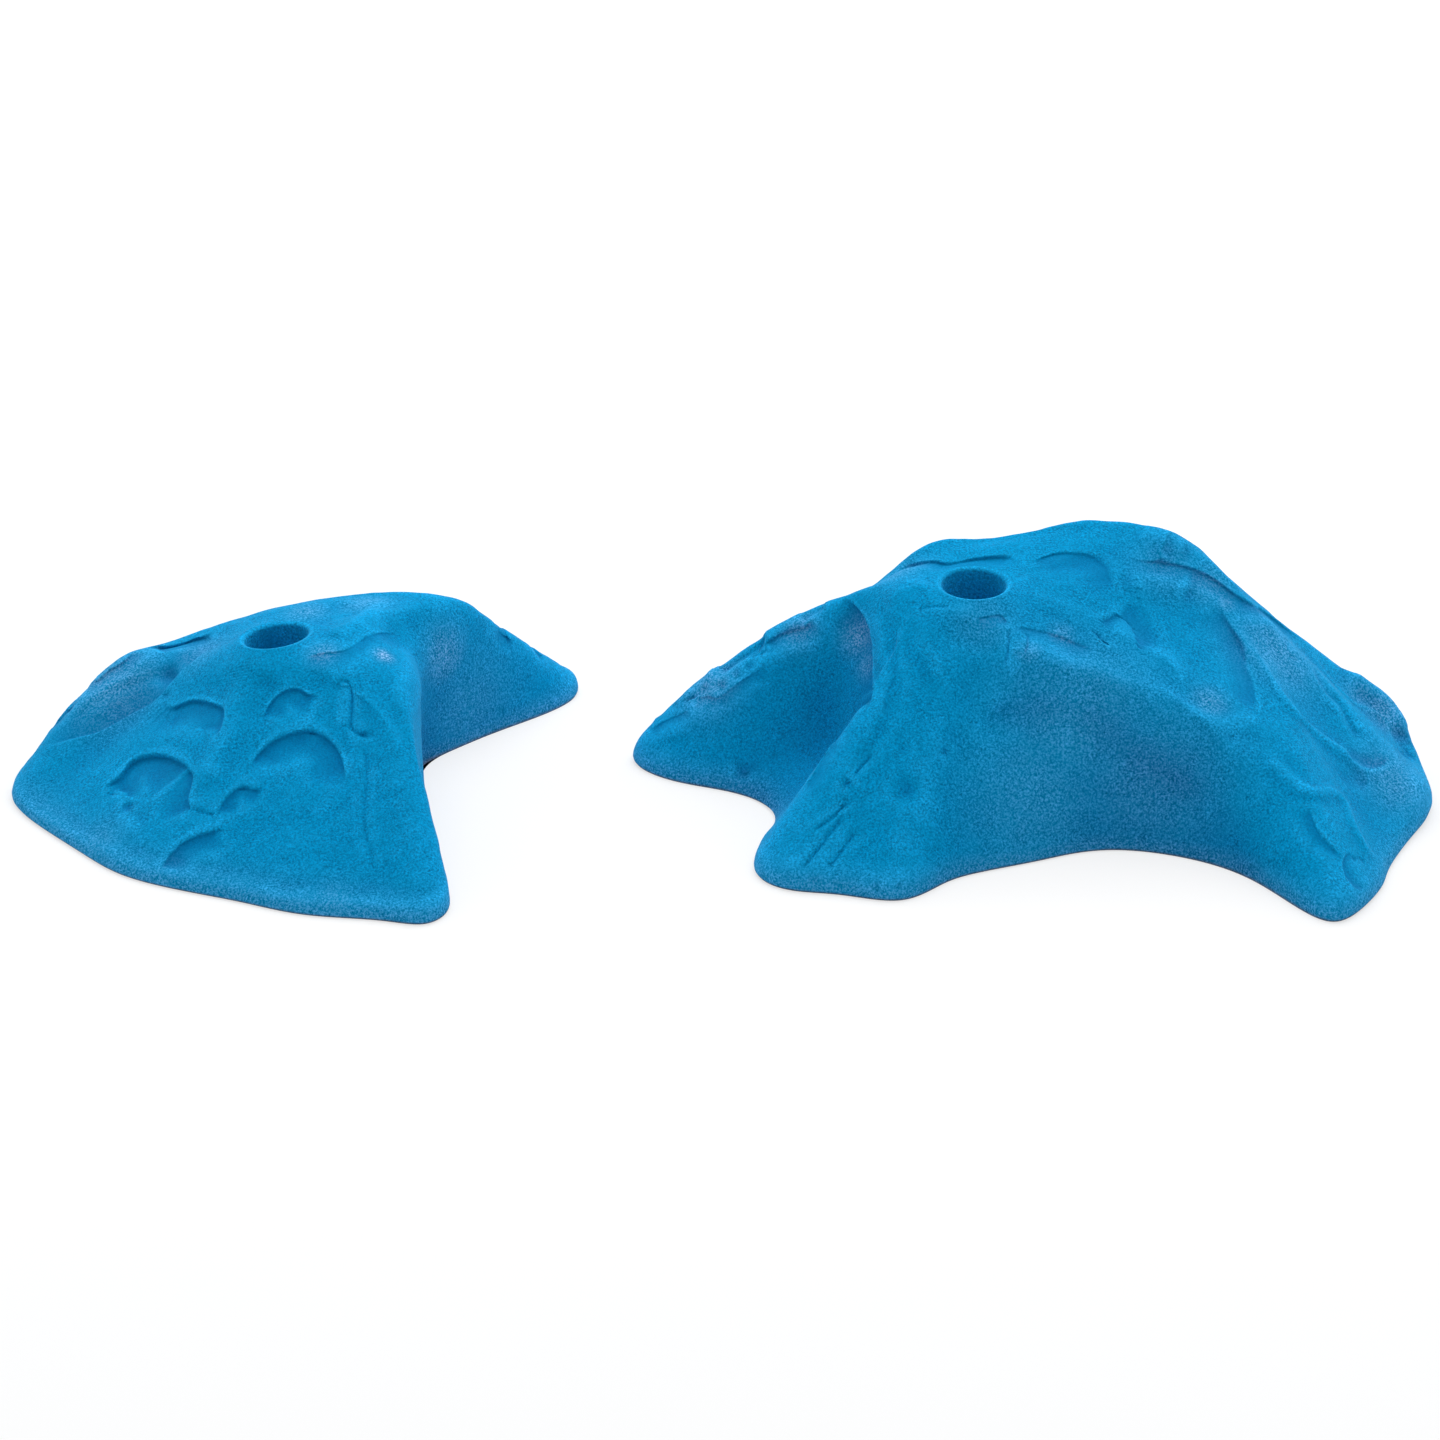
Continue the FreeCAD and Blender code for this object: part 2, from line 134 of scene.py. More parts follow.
SMALL_RIB_SHARES = (
    (0.508, 0.366, 0.070, 0.303, 0.189, 0.885, -0.02, 30, 0.146, 0.925),       # right toe
    (0.482, 0.429, 0.075, 0.281, 0.206, 0.890, 0.01, 38, 0.135, 0.925),
    (0.392, 0.423, 0.070, 0.242, 0.217, 0.891, 0.04, 46, 0.122, 0.920),
    (0.242, 0.366, 0.060, 0.181, 0.209, 0.891, 0.08, 57, 0.106, 0.910),       # back cove
    (0.098, 0.354, 0.060, 0.092, 0.200, 0.865, 0.06, 70, 0.087, 0.900),
    (-0.036, 0.389, 0.080, -0.002, 0.189, 0.828, 0.00, 84, 0.072, 0.885),
    (-0.136, 0.389, 0.090, -0.063, 0.177, 0.792, 0.00, 101, 0.067, 0.864),    # back toe
    (-0.224, 0.314, 0.070, -0.124, 0.160, 0.752, 0.02, 118, 0.065, 0.836),
    (-0.324, 0.217, 0.070, -0.191, 0.143, 0.705, 0.04, 133, 0.067, 0.809),
    (-0.404, 0.114, 0.090, -0.247, 0.120, 0.665, -0.12, 148, 0.071, 0.773),
    (-0.446, 0.023, 0.080, -0.274, 0.080, 0.655, -0.15, 161, 0.071, 0.755),
    (-0.466, -0.073, 0.070, -0.270, 0.023, 0.555, -0.10, 173, 0.071, 0.745),  # left toe
    (-0.432, -0.158, 0.050, -0.247, -0.017, 0.473, 0.00, 184, 0.067, 0.745),
    (-0.380, -0.228, 0.045, -0.208, -0.034, 0.527, 0.00, 194, 0.059, 0.755),
    (-0.313, -0.310, 0.040, -0.158, -0.057, 0.609, 0.00, 206, 0.048, 0.773),
    (-0.236, -0.390, 0.040, -0.102, -0.086, 0.691, 0.00, 222, 0.039, 0.800),
    (-0.124, -0.450, 0.040, -0.047, -0.114, 0.736, 0.00, 239, 0.031, 0.830),
    (-0.024, -0.492, 0.040, -0.002, -0.126, 0.755, 0.00, 255, 0.031, 0.842),
    (0.076, -0.535, 0.040, 0.042, -0.143, 0.770, 0.00, 272, 0.033, 0.850),
    (0.209, -0.558, 0.050, 0.142, -0.171, 0.775, 0.00, 297, 0.047, 0.873),
    (0.288, -0.568, 0.070, 0.212, -0.240, 0.705, -0.02, 315, 0.075, 0.900),   # front toe
    (0.320, -0.510, 0.080, 0.245, -0.274, 0.640, -0.02, 327, 0.098, 0.920),
    (0.295, -0.385, 0.050, 0.247, -0.229, 0.730, 0.02, 336, 0.110, 0.930),
    (0.268, -0.229, 0.040, 0.250, -0.149, 0.790, 0.04, 344, 0.112, 0.940),
    (0.246, -0.069, 0.040, 0.250, -0.057, 0.785, 0.06, 353, 0.108, 0.950),
    (0.238, 0.048, 0.040, 0.246, 0.034, 0.720, 0.08, 362, 0.104, 0.955),      # right cove
    (0.275, 0.103, 0.040, 0.266, 0.088, 0.700, 0.07, 371, 0.112, 0.955),
    (0.364, 0.197, 0.040, 0.294, 0.128, 0.740, 0.06, 379, 0.128, 0.950),
    (0.450, 0.277, 0.050, 0.306, 0.160, 0.825, 0.04, 384, 0.142, 0.940),
)

# Marks of the carving, traced as the camera sees them: kind, depth and reach in
# millimetres, then the pen's way in pixels. A ledge drops on the pen's right.
LARGE_MARKS = (
    # The lip behind the dish.
    ("ledge", 1.0, 4, ((895, 572), (912, 564), (930, 561), (950, 563), (975, 558), (1005, 556),
        (1023, 562))),
    ("ledge", 0.6, 6, ((1026, 566), (1038, 559), (1056, 553), (1070, 552), (1086, 553), (1100, 558),
        (1108, 568), (1112, 582), (1114, 600))),
    ("ledge", 0.8, 4, ((1122, 556), (1140, 560), (1159, 562), (1177, 565), (1206, 574), (1238, 596),
        (1266, 613), (1308, 643))),
    ("ridge", 1.2, 6, ((1128, 586), (1150, 583), (1172, 585), (1192, 592))),
    ("ridge", 1.2, 1.8, ((1168, 531), (1163, 544), (1160, 554), (1168, 562))),
    ("ridge", 1.0, 4, ((1136, 534), (1152, 538), (1170, 543), (1188, 552))),
    # Round the front of the mouth.
    ("ridge", 0.7, 3, ((898, 583), (918, 585), (940, 589), (955, 597))),
    ("ledge", 0.5, 3, ((974, 619), (990, 616), (1000, 615), (1006, 621), (1008, 628))),
    ("ledge", 0.4, 3, ((1008, 628), (1029, 629), (1059, 636), (1079, 644), (1096, 648))),
    ("groove", 0.8, 1.2, ((1008, 630), (1009, 642), (1008, 656), (1005, 668))),
    ("groove", 0.6, 1.2, ((1028, 634), (1027, 646), (1024, 655))),
    # The brow over the front cove.
    ("ridge", 0.9, 4, ((985, 694), (1000, 676), (1018, 665), (1044, 660), (1072, 662), (1102, 672),
        (1130, 687), (1160, 706), (1188, 726), (1215, 745))),
    ("ridge", 1.6, 8, ((920, 672), (945, 664), (972, 658), (1000, 655), (1030, 656))),
    ("groove", 1.7, 6, ((968, 740), (985, 724), (1010, 713), (1040, 709), (1070, 712), (1100, 724),
        (1130, 744), (1160, 769), (1190, 793), (1215, 812))),
    ("ledge", 0.8, 3, ((1097, 624), (1108, 617), (1120, 614), (1131, 622), (1139, 634))),
    ("groove", 0.8, 1.3, ((1095, 632), (1101, 638), (1107, 643))),
    ("groove", 0.6, 1.5, ((918, 609), (933, 606), (950, 607))),
    ("groove", 0.5, 3, ((912, 616), (908, 640), (908, 668))),
    # The left toe's crest and the flakes behind it.
    ("ridge", 0.9, 4, ((641, 742), (670, 728), (700, 714), (743, 689), (771, 661), (800, 629))),
    ("ledge", 0.7, 3, ((686, 706), (700, 698), (710, 696), (718, 698), (733, 688), (748, 677),
        (770, 662))),
    ("groove", 0.8, 1.3, ((684, 701), (693, 695), (703, 691))),
    ("groove", 0.8, 1.3, ((748, 658), (757, 653), (768, 648))),
    ("ledge", 1.2, 4, ((760, 643), (779, 634), (802, 626), (813, 616))),
    ("groove", 1.0, 1, ((770, 635), (786, 627), (804, 619))),
    ("ledge", 0.6, 3, ((648, 733), (662, 722), (680, 714), (694, 708))),
    ("groove", 3.0, 4, ((712, 672), (722, 664), (733, 656), (745, 648), (757, 640), (766, 634))),
    ("groove", 1.5, 3, ((797, 618), (810, 611), (826, 604))),
    # The sharp edge between the left cove and the buttress.
    ("ledge", 1.8, 7, ((832, 594), (849, 601), (864, 617), (871, 642), (873, 668), (872, 690),
        (868, 710))),
    ("groove", 0.8, 2.5, ((874, 598), (884, 620), (892, 650), (895, 680), (889, 708), (877, 735),
        (862, 758), (845, 782))),
    # Tool streaks down the front buttress.
    ("groove", 1.0, 1.2, ((850, 800), (832, 815), (813, 831))),
    ("groove", 1.0, 1.2, ((846, 812), (834, 828), (816, 851), (799, 872))),
    ("groove", 0.8, 1.2, ((856, 830), (843, 848), (827, 870))),
    ("groove", 0.9, 1.3, ((872, 755), (862, 765), (853, 776))),
    ("groove", 0.5, 1.5, ((893, 676), (886, 692), (884, 712))),
    # The facet's left ridge and the spoon-shaped scoop beside it.
    ("ridge", 1.3, 2, ((1228, 608), (1241, 635), (1254, 655), (1269, 679), (1283, 699), (1309, 729),
        (1342, 754), (1364, 769), (1388, 771))),
    ("ledge", 0.7, 5, ((1218, 603), (1229, 624), (1242, 646), (1247, 667), (1253, 685), (1255, 706),
        (1248, 717))),
    ("ridge", 0.8, 3, ((1180, 700), (1194, 713), (1220, 724), (1242, 722), (1257, 714))),
    ("ledge", 0.9, 5, ((1139, 652), (1136, 636), (1129, 623), (1116, 614))),
    ("ridge", 0.6, 2.5, ((1141, 640), (1160, 655), (1178, 670), (1185, 690))),
    # The second groove, its crest and the hollow under it.
    ("groove", 1.2, 2, ((1312, 662), (1327, 688), (1342, 704), (1351, 722), (1360, 744))),
    ("ridge", 0.7, 1.6, ((1307, 644), (1324, 672), (1350, 700), (1374, 713), (1386, 728), (1396, 750))),
    ("ledge", 0.6, 4, ((1391, 757), (1379, 768), (1359, 768), (1342, 754))),
    ("groove", 1.0, 1.3, ((1382, 692), (1387, 702), (1391, 714))),
    ("ridge", 0.7, 1.6, ((1391, 718), (1399, 716), (1407, 712))),
    ("groove", 0.9, 4, ((1340, 779), (1353, 778), (1368, 785))),
    ("groove", 0.5, 1.6, ((1285, 633), (1288, 650), (1297, 663))),
    # Knobs and nicks on the outline of the right toe.
    ("ridge", 3.0, 4, ((1342, 674), (1354, 681), (1365, 689), (1377, 698), (1385, 706), (1392, 715),
        (1398, 726), (1403, 737))),
    ("groove", 0.8, 2, ((1417, 750), (1410, 753), (1400, 755))),
    # Creases and arcs down the front right toe.
    ("ridge", 1.1, 2, ((1262, 752), (1280, 769), (1300, 788), (1317, 793), (1333, 793), (1344, 802),
        (1352, 824), (1364, 845), (1379, 861))),
    ("ledge", 0.6, 3, ((1309, 805), (1313, 820), (1320, 834), (1330, 845), (1342, 855))),
    ("ledge", 0.5, 3, ((1368, 893), (1353, 886), (1343, 870), (1345, 856), (1356, 850))),
    ("groove", 0.7, 1.6, ((1352, 861), (1360, 858), (1366, 862))),
)
SMALL_MARKS = (
    # Four shell-shaped chips.
    ("ledge", 1.5, 9, ((104, 792), (107, 786), (119, 776), (132, 760), (151, 754), (169, 756),
        (186, 765), (193, 776))),
    ("ledge", 1.0, 6, ((186, 766), (193, 776), (190, 790), (188, 800), (192, 812))),
    ("ledge", 1.1, 7, ((164, 700), (171, 708), (184, 703), (197, 700), (214, 704), (224, 710),
        (223, 726), (216, 740))),
    ("ledge", 0.9, 5, ((262, 722), (266, 710), (273, 700), (284, 691), (299, 689), (308, 694),
        (321, 697))),
    ("ledge", 1.1, 7, ((249, 775), (252, 764), (258, 753), (273, 740), (293, 732), (310, 730),
        (325, 736), (336, 747), (343, 764), (345, 790))),
    ("ridge", 1.5, 5, ((240, 664), (239, 695), (230, 726), (216, 758), (204, 790))),
    # The step down the face, its faint run below, and the cracks on the left.
    ("groove", 0.8, 1.4, ((334, 686), (344, 681), (350, 686), (351, 706), (350, 724), (354, 731),
        (363, 734), (376, 738))),
    ("ridge", 0.5, 2, ((343, 690), (342, 708), (343, 726))),
    ("groove", 0.5, 1.6, ((358, 734), (366, 764), (364, 818), (371, 862), (375, 880))),
    ("ledge", 0.8, 4, ((217, 818), (220, 809), (225, 800), (234, 791), (243, 787), (253, 789),
        (266, 789))),
    ("groove", 0.7, 1.2, ((190, 808), (203, 812), (215, 815))),
    ("ledge", 0.9, 5, ((157, 874), (169, 856), (181, 843), (197, 835), (212, 831), (225, 827))),
    ("ridge", 0.8, 6, ((92, 872), (112, 850), (126, 832), (140, 818))),
    # The left toe's crest, the valley behind it and its pocket.
    ("ledge", 0.4, 7, ((218, 640), (197, 658), (175, 676), (158, 698), (132, 713), (101, 730),
        (68, 739), (40, 748), (30, 757))),
    ("groove", 0.5, 2.5, ((68, 732), (86, 708), (114, 691), (158, 674), (178, 667))),
    ("ledge", 1.2, 4, ((147, 652), (150, 646), (170, 644), (199, 637), (212, 632))),
    ("groove", 0.5, 1.2, ((156, 646), (180, 642), (200, 634))),
    # The swell and the pocket between the mouth and the right crest.
    ("ridge", 1.0, 4, ((330, 640), (350, 628), (372, 612), (392, 600))),
    ("groove", 0.8, 4, ((312, 628), (332, 612), (352, 603))),
    ("ledge", 0.4, 4, ((300, 660), (320, 654), (346, 650), (372, 634), (400, 633))),
)
# Round dents, or knobs if the depth is negative: x and y in pixels, then radius and
# depth in millimetres.
LARGE_DENTS = (
    (906, 789, 4.2, 1.7), (847, 783, 1.2, 1.0), (903, 749, 1.6, 0.4), (946, 751, 1.4, 0.9),
    (952, 734, 4.0, 0.7), (743, 773, 2.2, 1.4), (754, 769, 1.6, 0.5), (876, 886, 1.2, 0.7),
    (899, 886, 1.2, 0.7), (814, 881, 1.4, 0.7), (711, 674, 2.5, -0.9), (686, 695, 2.0, -0.8),
    (657, 720, 2.0, -0.8), (735, 672, 1.5, 0.9), (722, 684, 1.5, 0.9), (704, 688, 1.5, 0.9),
    (692, 697, 1.5, 0.8), (748, 664, 1.5, 0.9), (663, 713, 1.4, 0.9), (674, 704, 1.5, 0.9),
    (760, 655, 1.5, 0.9),
)
SMALL_DENTS = (
    (111, 793, 1.5, 0.8), (127, 806, 1.8, 0.9), (169, 674, 3.0, 1.8), (167, 696, 1.3, 0.6),
    (243, 788, 1.0, 0.8), (312, 731, 1.2, 0.7), (361, 735, 1.2, 0.6),
)
# Pale rubbed places, and painted sheen on facets and edges that face away: x and y in pixels, then
# radius in millimetres and strength.
LARGE_SCUFFS_AND_SHEEN = (
    (856, 636, 5, 0.5), (864, 664, 4, 0.3), (1210, 702, 5, 0.3), (1062, 636, 4, 0.25),
    (1030, 652, 4, 0.2), (1226, 602, 3, 0.3), (1278, 652, 14, 0.25), (1398, 780, 12, 0.25),
    (708, 684, 9, 0.35), (1080, 720, 22, 0.16), (1150, 780, 22, 0.16), (1040, 800, 22, 0.14),
    (1166, 568, 10, 0.12), (985, 622, 9, 0.1), (1384, 714, 8, 0.4), (797, 627, 6, 0.35),
    (900, 572, 7, 0.25), (1210, 584, 7, 0.2), (1360, 695, 6, 0.25),
)
SMALL_SCUFFS_AND_SHEEN = (
    (384, 655, 2.5, 1.0), (323, 653, 4, 0.4), (445, 655, 8, 0.4), (110, 680, 14, 0.35),
    (470, 710, 18, 0.14), (90, 850, 10, 0.2), (330, 908, 8, 0.2), (306, 612, 6, 0.3),
    (366, 603, 7, 0.25), (200, 652, 8, 0.2),
)

HOLDS = {
    "large": {
        "ribs": LARGE_RIB_SHARES,
        "size": (250 * MM, 160 * MM, 80 * MM),
        "rim_share": 0.875,
        "tilt_shares": (0.0, 0.06),
        "columns": 720,
        "rows": 118,
        "marks": LARGE_MARKS,
        "dents": LARGE_DENTS,
        "scuffs_and_sheen": LARGE_SCUFFS_AND_SHEEN,
        "seed": 31,
    },
    "small": {
        "ribs": SMALL_RIB_SHARES,
        "size": (180 * MM, 175 * MM, 55 * MM),
        "rim_share": 0.909,
        "tilt_shares": (0.12, -0.04),
        "columns": 640,
        "rows": 134,
        "marks": SMALL_MARKS,
        "dents": SMALL_DENTS,
        "scuffs_and_sheen": SMALL_SCUFFS_AND_SHEEN,
        "seed": 32,
    },
}

# How the marks are laid down and how far a mark's cliff and rim reach. A ledge runs out
# from its first to its second share of the reach, and counts up to its margin.
MARK_STEP_PX = 3
CURVE_STEPS = 16
LEDGE_MARGIN = 5
BELL_MARGIN = 3
RUN_OUT_SHARES = (0.5, 2.0)
CLIFF_WIDTH = 1.6 * MM
RIM_WIDTH = 1.6 * MM
RIM_SHARE = 0.04
# The pale rub along a mark's rim is wear and a painted highlight.
RUB_HIGHLIGHT_WIDTH = 0.9 * MM
RUB_HIGHLIGHT_STRENGTH = 0.35
PULL_REACH = 4 * MM
PULL_POWER = 0.6
END_FADE_SHARE = 0.18
WEAR_HIGHLIGHT_SLOPE = 0.6

# Chance chips: arcs on the part of the rows between the shares that faces away.
CHIP_ROW_SHARES = (0.12, 0.5)
AWAY_SHARE = 0.35
CHIP_RADIUS_MM = (5, 15)
CHIP_SPAN_DEGREES = (80, 190)
CHIP_TURN_DEGREES = (-70, 70)
CHIP_DEPTH_MM = (0.35, 0.9)
CHIP_SQUASH_SHARES = (0.4, 0.9)
CHIP_POINTS = 40
CHIP_WAVES = 5
CHIP_WAVE_SHARE = 0.12
CHIP_REACH_SHARE = 0.35

# Ripples: each has a share of the ripple's width and a share of its height.
RIPPLE_SHARES = ((1.0, 1.0), (0.4, 0.45), (0.15, 0.2))
RIPPLE_SEED_STEP = 100
FOOT_FADE = 5 * MM
FOOT_RUB_SHARE = 0.25
MOUTH_FADE = 4 * MM

# What counts as a crest or a hollow: crests take wear and a painted highlight, and hollows and crevices
# a painted shade.
CREST_REACH = 2.5 * MM
CREST_HEIGHT = 0.28 * MM
CREVICE_SHADE_SHARE = 0.35
HOLLOW_REACH = 14 * MM
HOLLOW_DEPTH = 4 * MM

# Shares stored on the castings: wear with a painted highlight, painted shade in hollows, scuffs with a
# painted sheen, and planing.
ATTRIBUTE_NAMES = ("wear_and_highlight", "deep_tone_and_shade", "rubs_and_highlight", "planed")
CASTING_MATERIAL = "sand-textured cast polyurethane"
SHARP_ANGLE = math.radians(60)

# Sizes in the materials. The turned lines are finer than this on a real washer, and
# are drawn this coarse to show. Their wave runs on by one radian over the width, and
# a wave texture of scale 1 by 20 radians over a metre.
MOTTLE_WIDTH = 9 * MM
FOOT_SHADE_HEIGHT = 1.2 * MM
TURNED_RADIAN_WIDTH = 0.5 * MM
TURNED_LINE_DEPTH = 0.03 * MM
RADIANS_PER_SCALE = 20
CLOUD_WIDTH = 4 * MM
FLOOR_CLOUD_WIDTH = 0.2

# Spans of a noise's value, and what the materials make of them.
WHOLE_SPAN = (0.0, 1.0)
NOISE_SPAN = (0.3, 0.7)
DEEP_SPAN = (0.35, 0.75)
CHALK_AND_SHEEN_SPAN = (0.42, 0.62)
DEEP_SHARES = (0.0, 0.3)
WEAR_HIGHLIGHT_SHARES = (0.25, 1.0)
FOOT_SHADE_SHARES = (0.0, 0.8)
COARSE_SHARES = (0.65, 1.35)
SMOOTHED_SHARES = (1.0, 0.45)
SPECKLE_SHARES = (-0.4, 0.58)
PLANED_DEEPER_SHARE = 0.35
SPANGLE_SHARES = (0.85, 1.1)
PLATING_ROUGHNESS = (0.3, 0.48)
BOARD_ROUGHNESS = (0.9, 1.0)
WHITE = (1.0, 1.0, 1.0, 1.0)

# The stage.
FLOOR_SIDE = 16
FLOOR_GAP = 0.05 * MM
FLOOR_GLOW_SHARE = 0.6
OVERHEAD_PLACE = (0.15, 0.5, 1.25)
RIM_PLACES = ((0.9, 0.9, 0.7), (-0.9, 0.8, 0.7))
RIM_SIDE = 0.7


def hex_colour(code):
    """Linear red, green, blue and alpha of an sRGB hex code."""
    parts = [int(code[place:place + 2], 16) / 255 for place in (0, 2, 4)]
    linear = [part / 12.92 if part <= 0.04045 else ((part + 0.055) / 1.055) ** 2.4
              for part in parts]
    return (*linear, 1.0)


class CastingSettings(bpy.types.PropertyGroup):
    """Sizes of what the carver and the mould leave on both castings."""

    mark_depth: bpy.props.FloatProperty(
        name="Mark depth", description="Multiplies the depth of every carved chip and groove",
        default=1.0, min=0.0, max=2.0, subtype="FACTOR")
    ripple: bpy.props.FloatProperty(
        name="Ripple", description="Height of the broad unevenness that hand shaping leaves",
        default=0.45 * MM, min=0.0, max=2 * MM, precision=5, subtype="DISTANCE", unit="LENGTH")
    ripple_width: bpy.props.FloatProperty(
        name="Ripple width", description="Distance from one rise of the unevenness to the next",
        default=19 * MM, min=4 * MM, max=60 * MM, subtype="DISTANCE", unit="LENGTH")
    grain_size: bpy.props.FloatProperty(
        name="Grain size", description="Width of a grain of the sandy texture",
        default=0.65 * MM, min=0.2 * MM, max=4 * MM, precision=5, subtype="DISTANCE", unit="LENGTH")
    grain_height: bpy.props.FloatProperty(
        name="Grain height", description="Height of a grain of the sandy texture",
        default=0.3 * MM, min=0.0, max=1 * MM, precision=5, subtype="DISTANCE", unit="LENGTH")
    chip_count: bpy.props.IntProperty(
        name="Chips", description="Number of small chips on the sides that face away",
        default=26, min=0, max=80)


class ColourSettings(bpy.types.PropertyGroup):
    """Colours of the castings, the washers and the stage."""

    pigment: bpy.props.FloatVectorProperty(
        name="Pigment", description="Blue that runs through the cast polyurethane",
        default=hex_colour("0079A8"), size=4, min=0.0, max=1.0, subtype="COLOR")
    # Deeper blue that paints shade into the hollows and crevices, and also gives the random mottle and
    # the planed places their deeper tone.
    deep_tone_and_shade: bpy.props.FloatVectorProperty(
        name="Hollows", description="Deeper blue where no hand or shoe rubs",
        default=hex_colour("006596"), size=4, min=0.0, max=1.0, subtype="COLOR")
    # Paler blue of wear on crests and rims, which also paints a highlight there.
    wear_and_highlight: bpy.props.FloatVectorProperty(
        name="Worn edges", description="Paler, greyer blue where the sand is rubbed flat",
        default=hex_colour("0D88BC"), size=4, min=0.0, max=1.0, subtype="COLOR")
    # Chalky rubs, and the same pale colour painted as a sheen on facets and edges that face away.
    scuff_and_sheen: bpy.props.FloatVectorProperty(
        name="Scuffs", description="Chalky rubs of hands and packing",
        default=hex_colour("7A9DC4"), size=4, min=0.0, max=1.0, subtype="COLOR")
    # A thin grey line of painted shade along the foot.
    foot_shade: bpy.props.FloatVectorProperty(
        name="Trimmed edge", description="Bare line where the back was trimmed flat",
        default=hex_colour("5A5A66"), size=4, min=0.0, max=1.0, subtype="COLOR")
    zinc: bpy.props.FloatVectorProperty(
        name="Zinc", description="Zinc plating of the washers",
        default=hex_colour("B4B9BD"), size=4, min=0.0, max=1.0, subtype="COLOR")
    floor: bpy.props.FloatVectorProperty(
        name="Floor", description="Plain white floor",
        default=hex_colour("F4F5F6"), size=4, min=0.0, max=1.0, subtype="COLOR")


class StageSettings(bpy.types.PropertyGroup):
    """Strengths and sizes of the studio light."""

    sky: bpy.props.FloatProperty(
        name="Sky", description="Light that comes evenly from all round",
        default=0.6, min=0.0, max=2.0, subtype="FACTOR")
    overhead: bpy.props.FloatProperty(
        name="Overhead lamp", description="Power of the large soft box over the holds",
        default=22.0, min=0.0, max=200.0, unit="POWER")
    overhead_side: bpy.props.FloatProperty(
        name="Overhead size", description="Side of the large soft box",
        default=1.5, min=0.2, max=4.0, subtype="DISTANCE", unit="LENGTH")
    rim: bpy.props.FloatProperty(
        name="Rim lamps", description="Power of each of the two soft boxes behind the holds",
        default=6.5, min=0.0, max=200.0, unit="POWER")


class ClimbingHoldSettings(bpy.types.PropertyGroup):
    """All settings of the climbing holds."""

    casting: bpy.props.PointerProperty(type=CastingSettings)
    colours: bpy.props.PointerProperty(type=ColourSettings)
    stage: bpy.props.PointerProperty(type=StageSettings)


def camera_frame():
    """The camera's place and its right, up and forward directions, in the row frame.

    The camera looks along +Y and down by its elevation at a target that lies a known
    way from the large hold's bolt, which the frame's washer gives.
    """
    low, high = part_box("large_hold_washer")
    target = np.array([(low[0] + high[0]) / 2 - LARGE_AXIS_FROM_TARGET[0],
                       (low[1] + high[1]) / 2 - LARGE_AXIS_FROM_TARGET[1],
                       TARGET_HEIGHT])
    forward = np.array([0, math.cos(CAMERA_ELEVATION), -math.sin(CAMERA_ELEVATION)])
    right = np.array([1.0, 0, 0])
    up = np.cross(right, forward)
    return target - forward * CAMERA_DISTANCE, right, up, forward


def sight_lines(pixels):
    """The camera's place and the directions in which it sees these pixels."""
    place, right, up, forward = camera_frame()
    offsets = (np.asarray(pixels, dtype=float) - PHOTO_SIDE_PX / 2) * PIXEL_SIZE
    ways = offsets[:, :1] * right - offsets[:, 1:] * up + CAMERA_DISTANCE * forward
    return place, unit(ways)


def unit(vectors):
    """The vectors at length 1."""
    return vectors / np.linalg.norm(vectors, axis=-1, keepdims=True)


def smooth_step(values):
    """3v² - 2v³ of values held between 0 and 1."""
    held = np.clip(values, 0, 1)
    return held * held * (3 - 2 * held)


def lattice_noise(points, cell, seed):
    """Value noise between -1 and 1: random numbers on a lattice, blended smoothly.

    The lattice has this cell and repeats every 64 cells. A point takes the eight
    corners round it, weighted by the smooth step of its place between them.
    """
    period = 64
    lattice = np.random.default_rng(seed).uniform(-1, 1, (period, period, period))
    scaled = points / cell
    base = np.floor(scaled).astype(int)
    weight = smooth_step(scaled - base)
    total = np.zeros(points.shape[:-1])
    for corner in np.ndindex(2, 2, 2):
        share = np.prod(np.where(corner, weight, 1 - weight), axis=-1)
        place = (base + corner) % period
        total += share * lattice[place[..., 0], place[..., 1], place[..., 2]]
    return total


def rib_points(hold):
    """Points of all ribs as an array of rib, step and xyz, from the bolt's axis.

    A rib rises from the edge to its lip and on to its brow. At the share s of that way
    a hollow wall sags by s²(1 - s), most of all two thirds up, and a full one bulges
    by s(1 - s). Then it runs straight to its apron and to the mouth.
    """
    shares = np.array(hold["ribs"])
    length, width, height = hold["size"]
    zero = np.zeros(len(shares))
    foot = np.stack([shares[:, 0] * length, shares[:, 1] * width, zero], axis=1)
    brow = np.stack([shares[:, 3] * length, shares[:, 4] * width, shares[:, 5] * height], axis=1)
    bearing = np.radians(shares[:, 7])
    out = np.stack([np.cos(bearing), np.sin(bearing), zero], axis=1)
    inward = unit((brow - foot) * (1, 1, 0))

    lip_z = shares[:, 2:3] * height
    upward = np.array([0, 0, 1])
    lip = foot + inward * lip_z * LIP_LEAN_SHARE + upward * lip_z
    points = [foot + inward * EDGE_INSET, foot + upward * EDGE_HEIGHT]
    for step in WALL_STEP_SHARES:
        sag = shares[:, 6:7]
        curve = np.where(sag > 0, SAG_SCALE * step ** 2, BULGE_SCALE * step) * (1 - step)
        points.append(lip + (brow - lip) * step - upward * sag * curve * (brow - lip)[:, 2:3])
    apron = out * (MOUTH_R + shares[:, 8:9] * length) + upward * shares[:, 9:10] * height
    for step in CROWN_STEP_SHARES:
        points.append(brow + (apron - brow) * step)
    mouth = out * MOUTH_R
    mouth[:, 2] = hold["rim_share"] * height + mouth[:, :2] @ np.array(hold["tilt_shares"])
    points.append(mouth)
    return np.stack(points, axis=1)


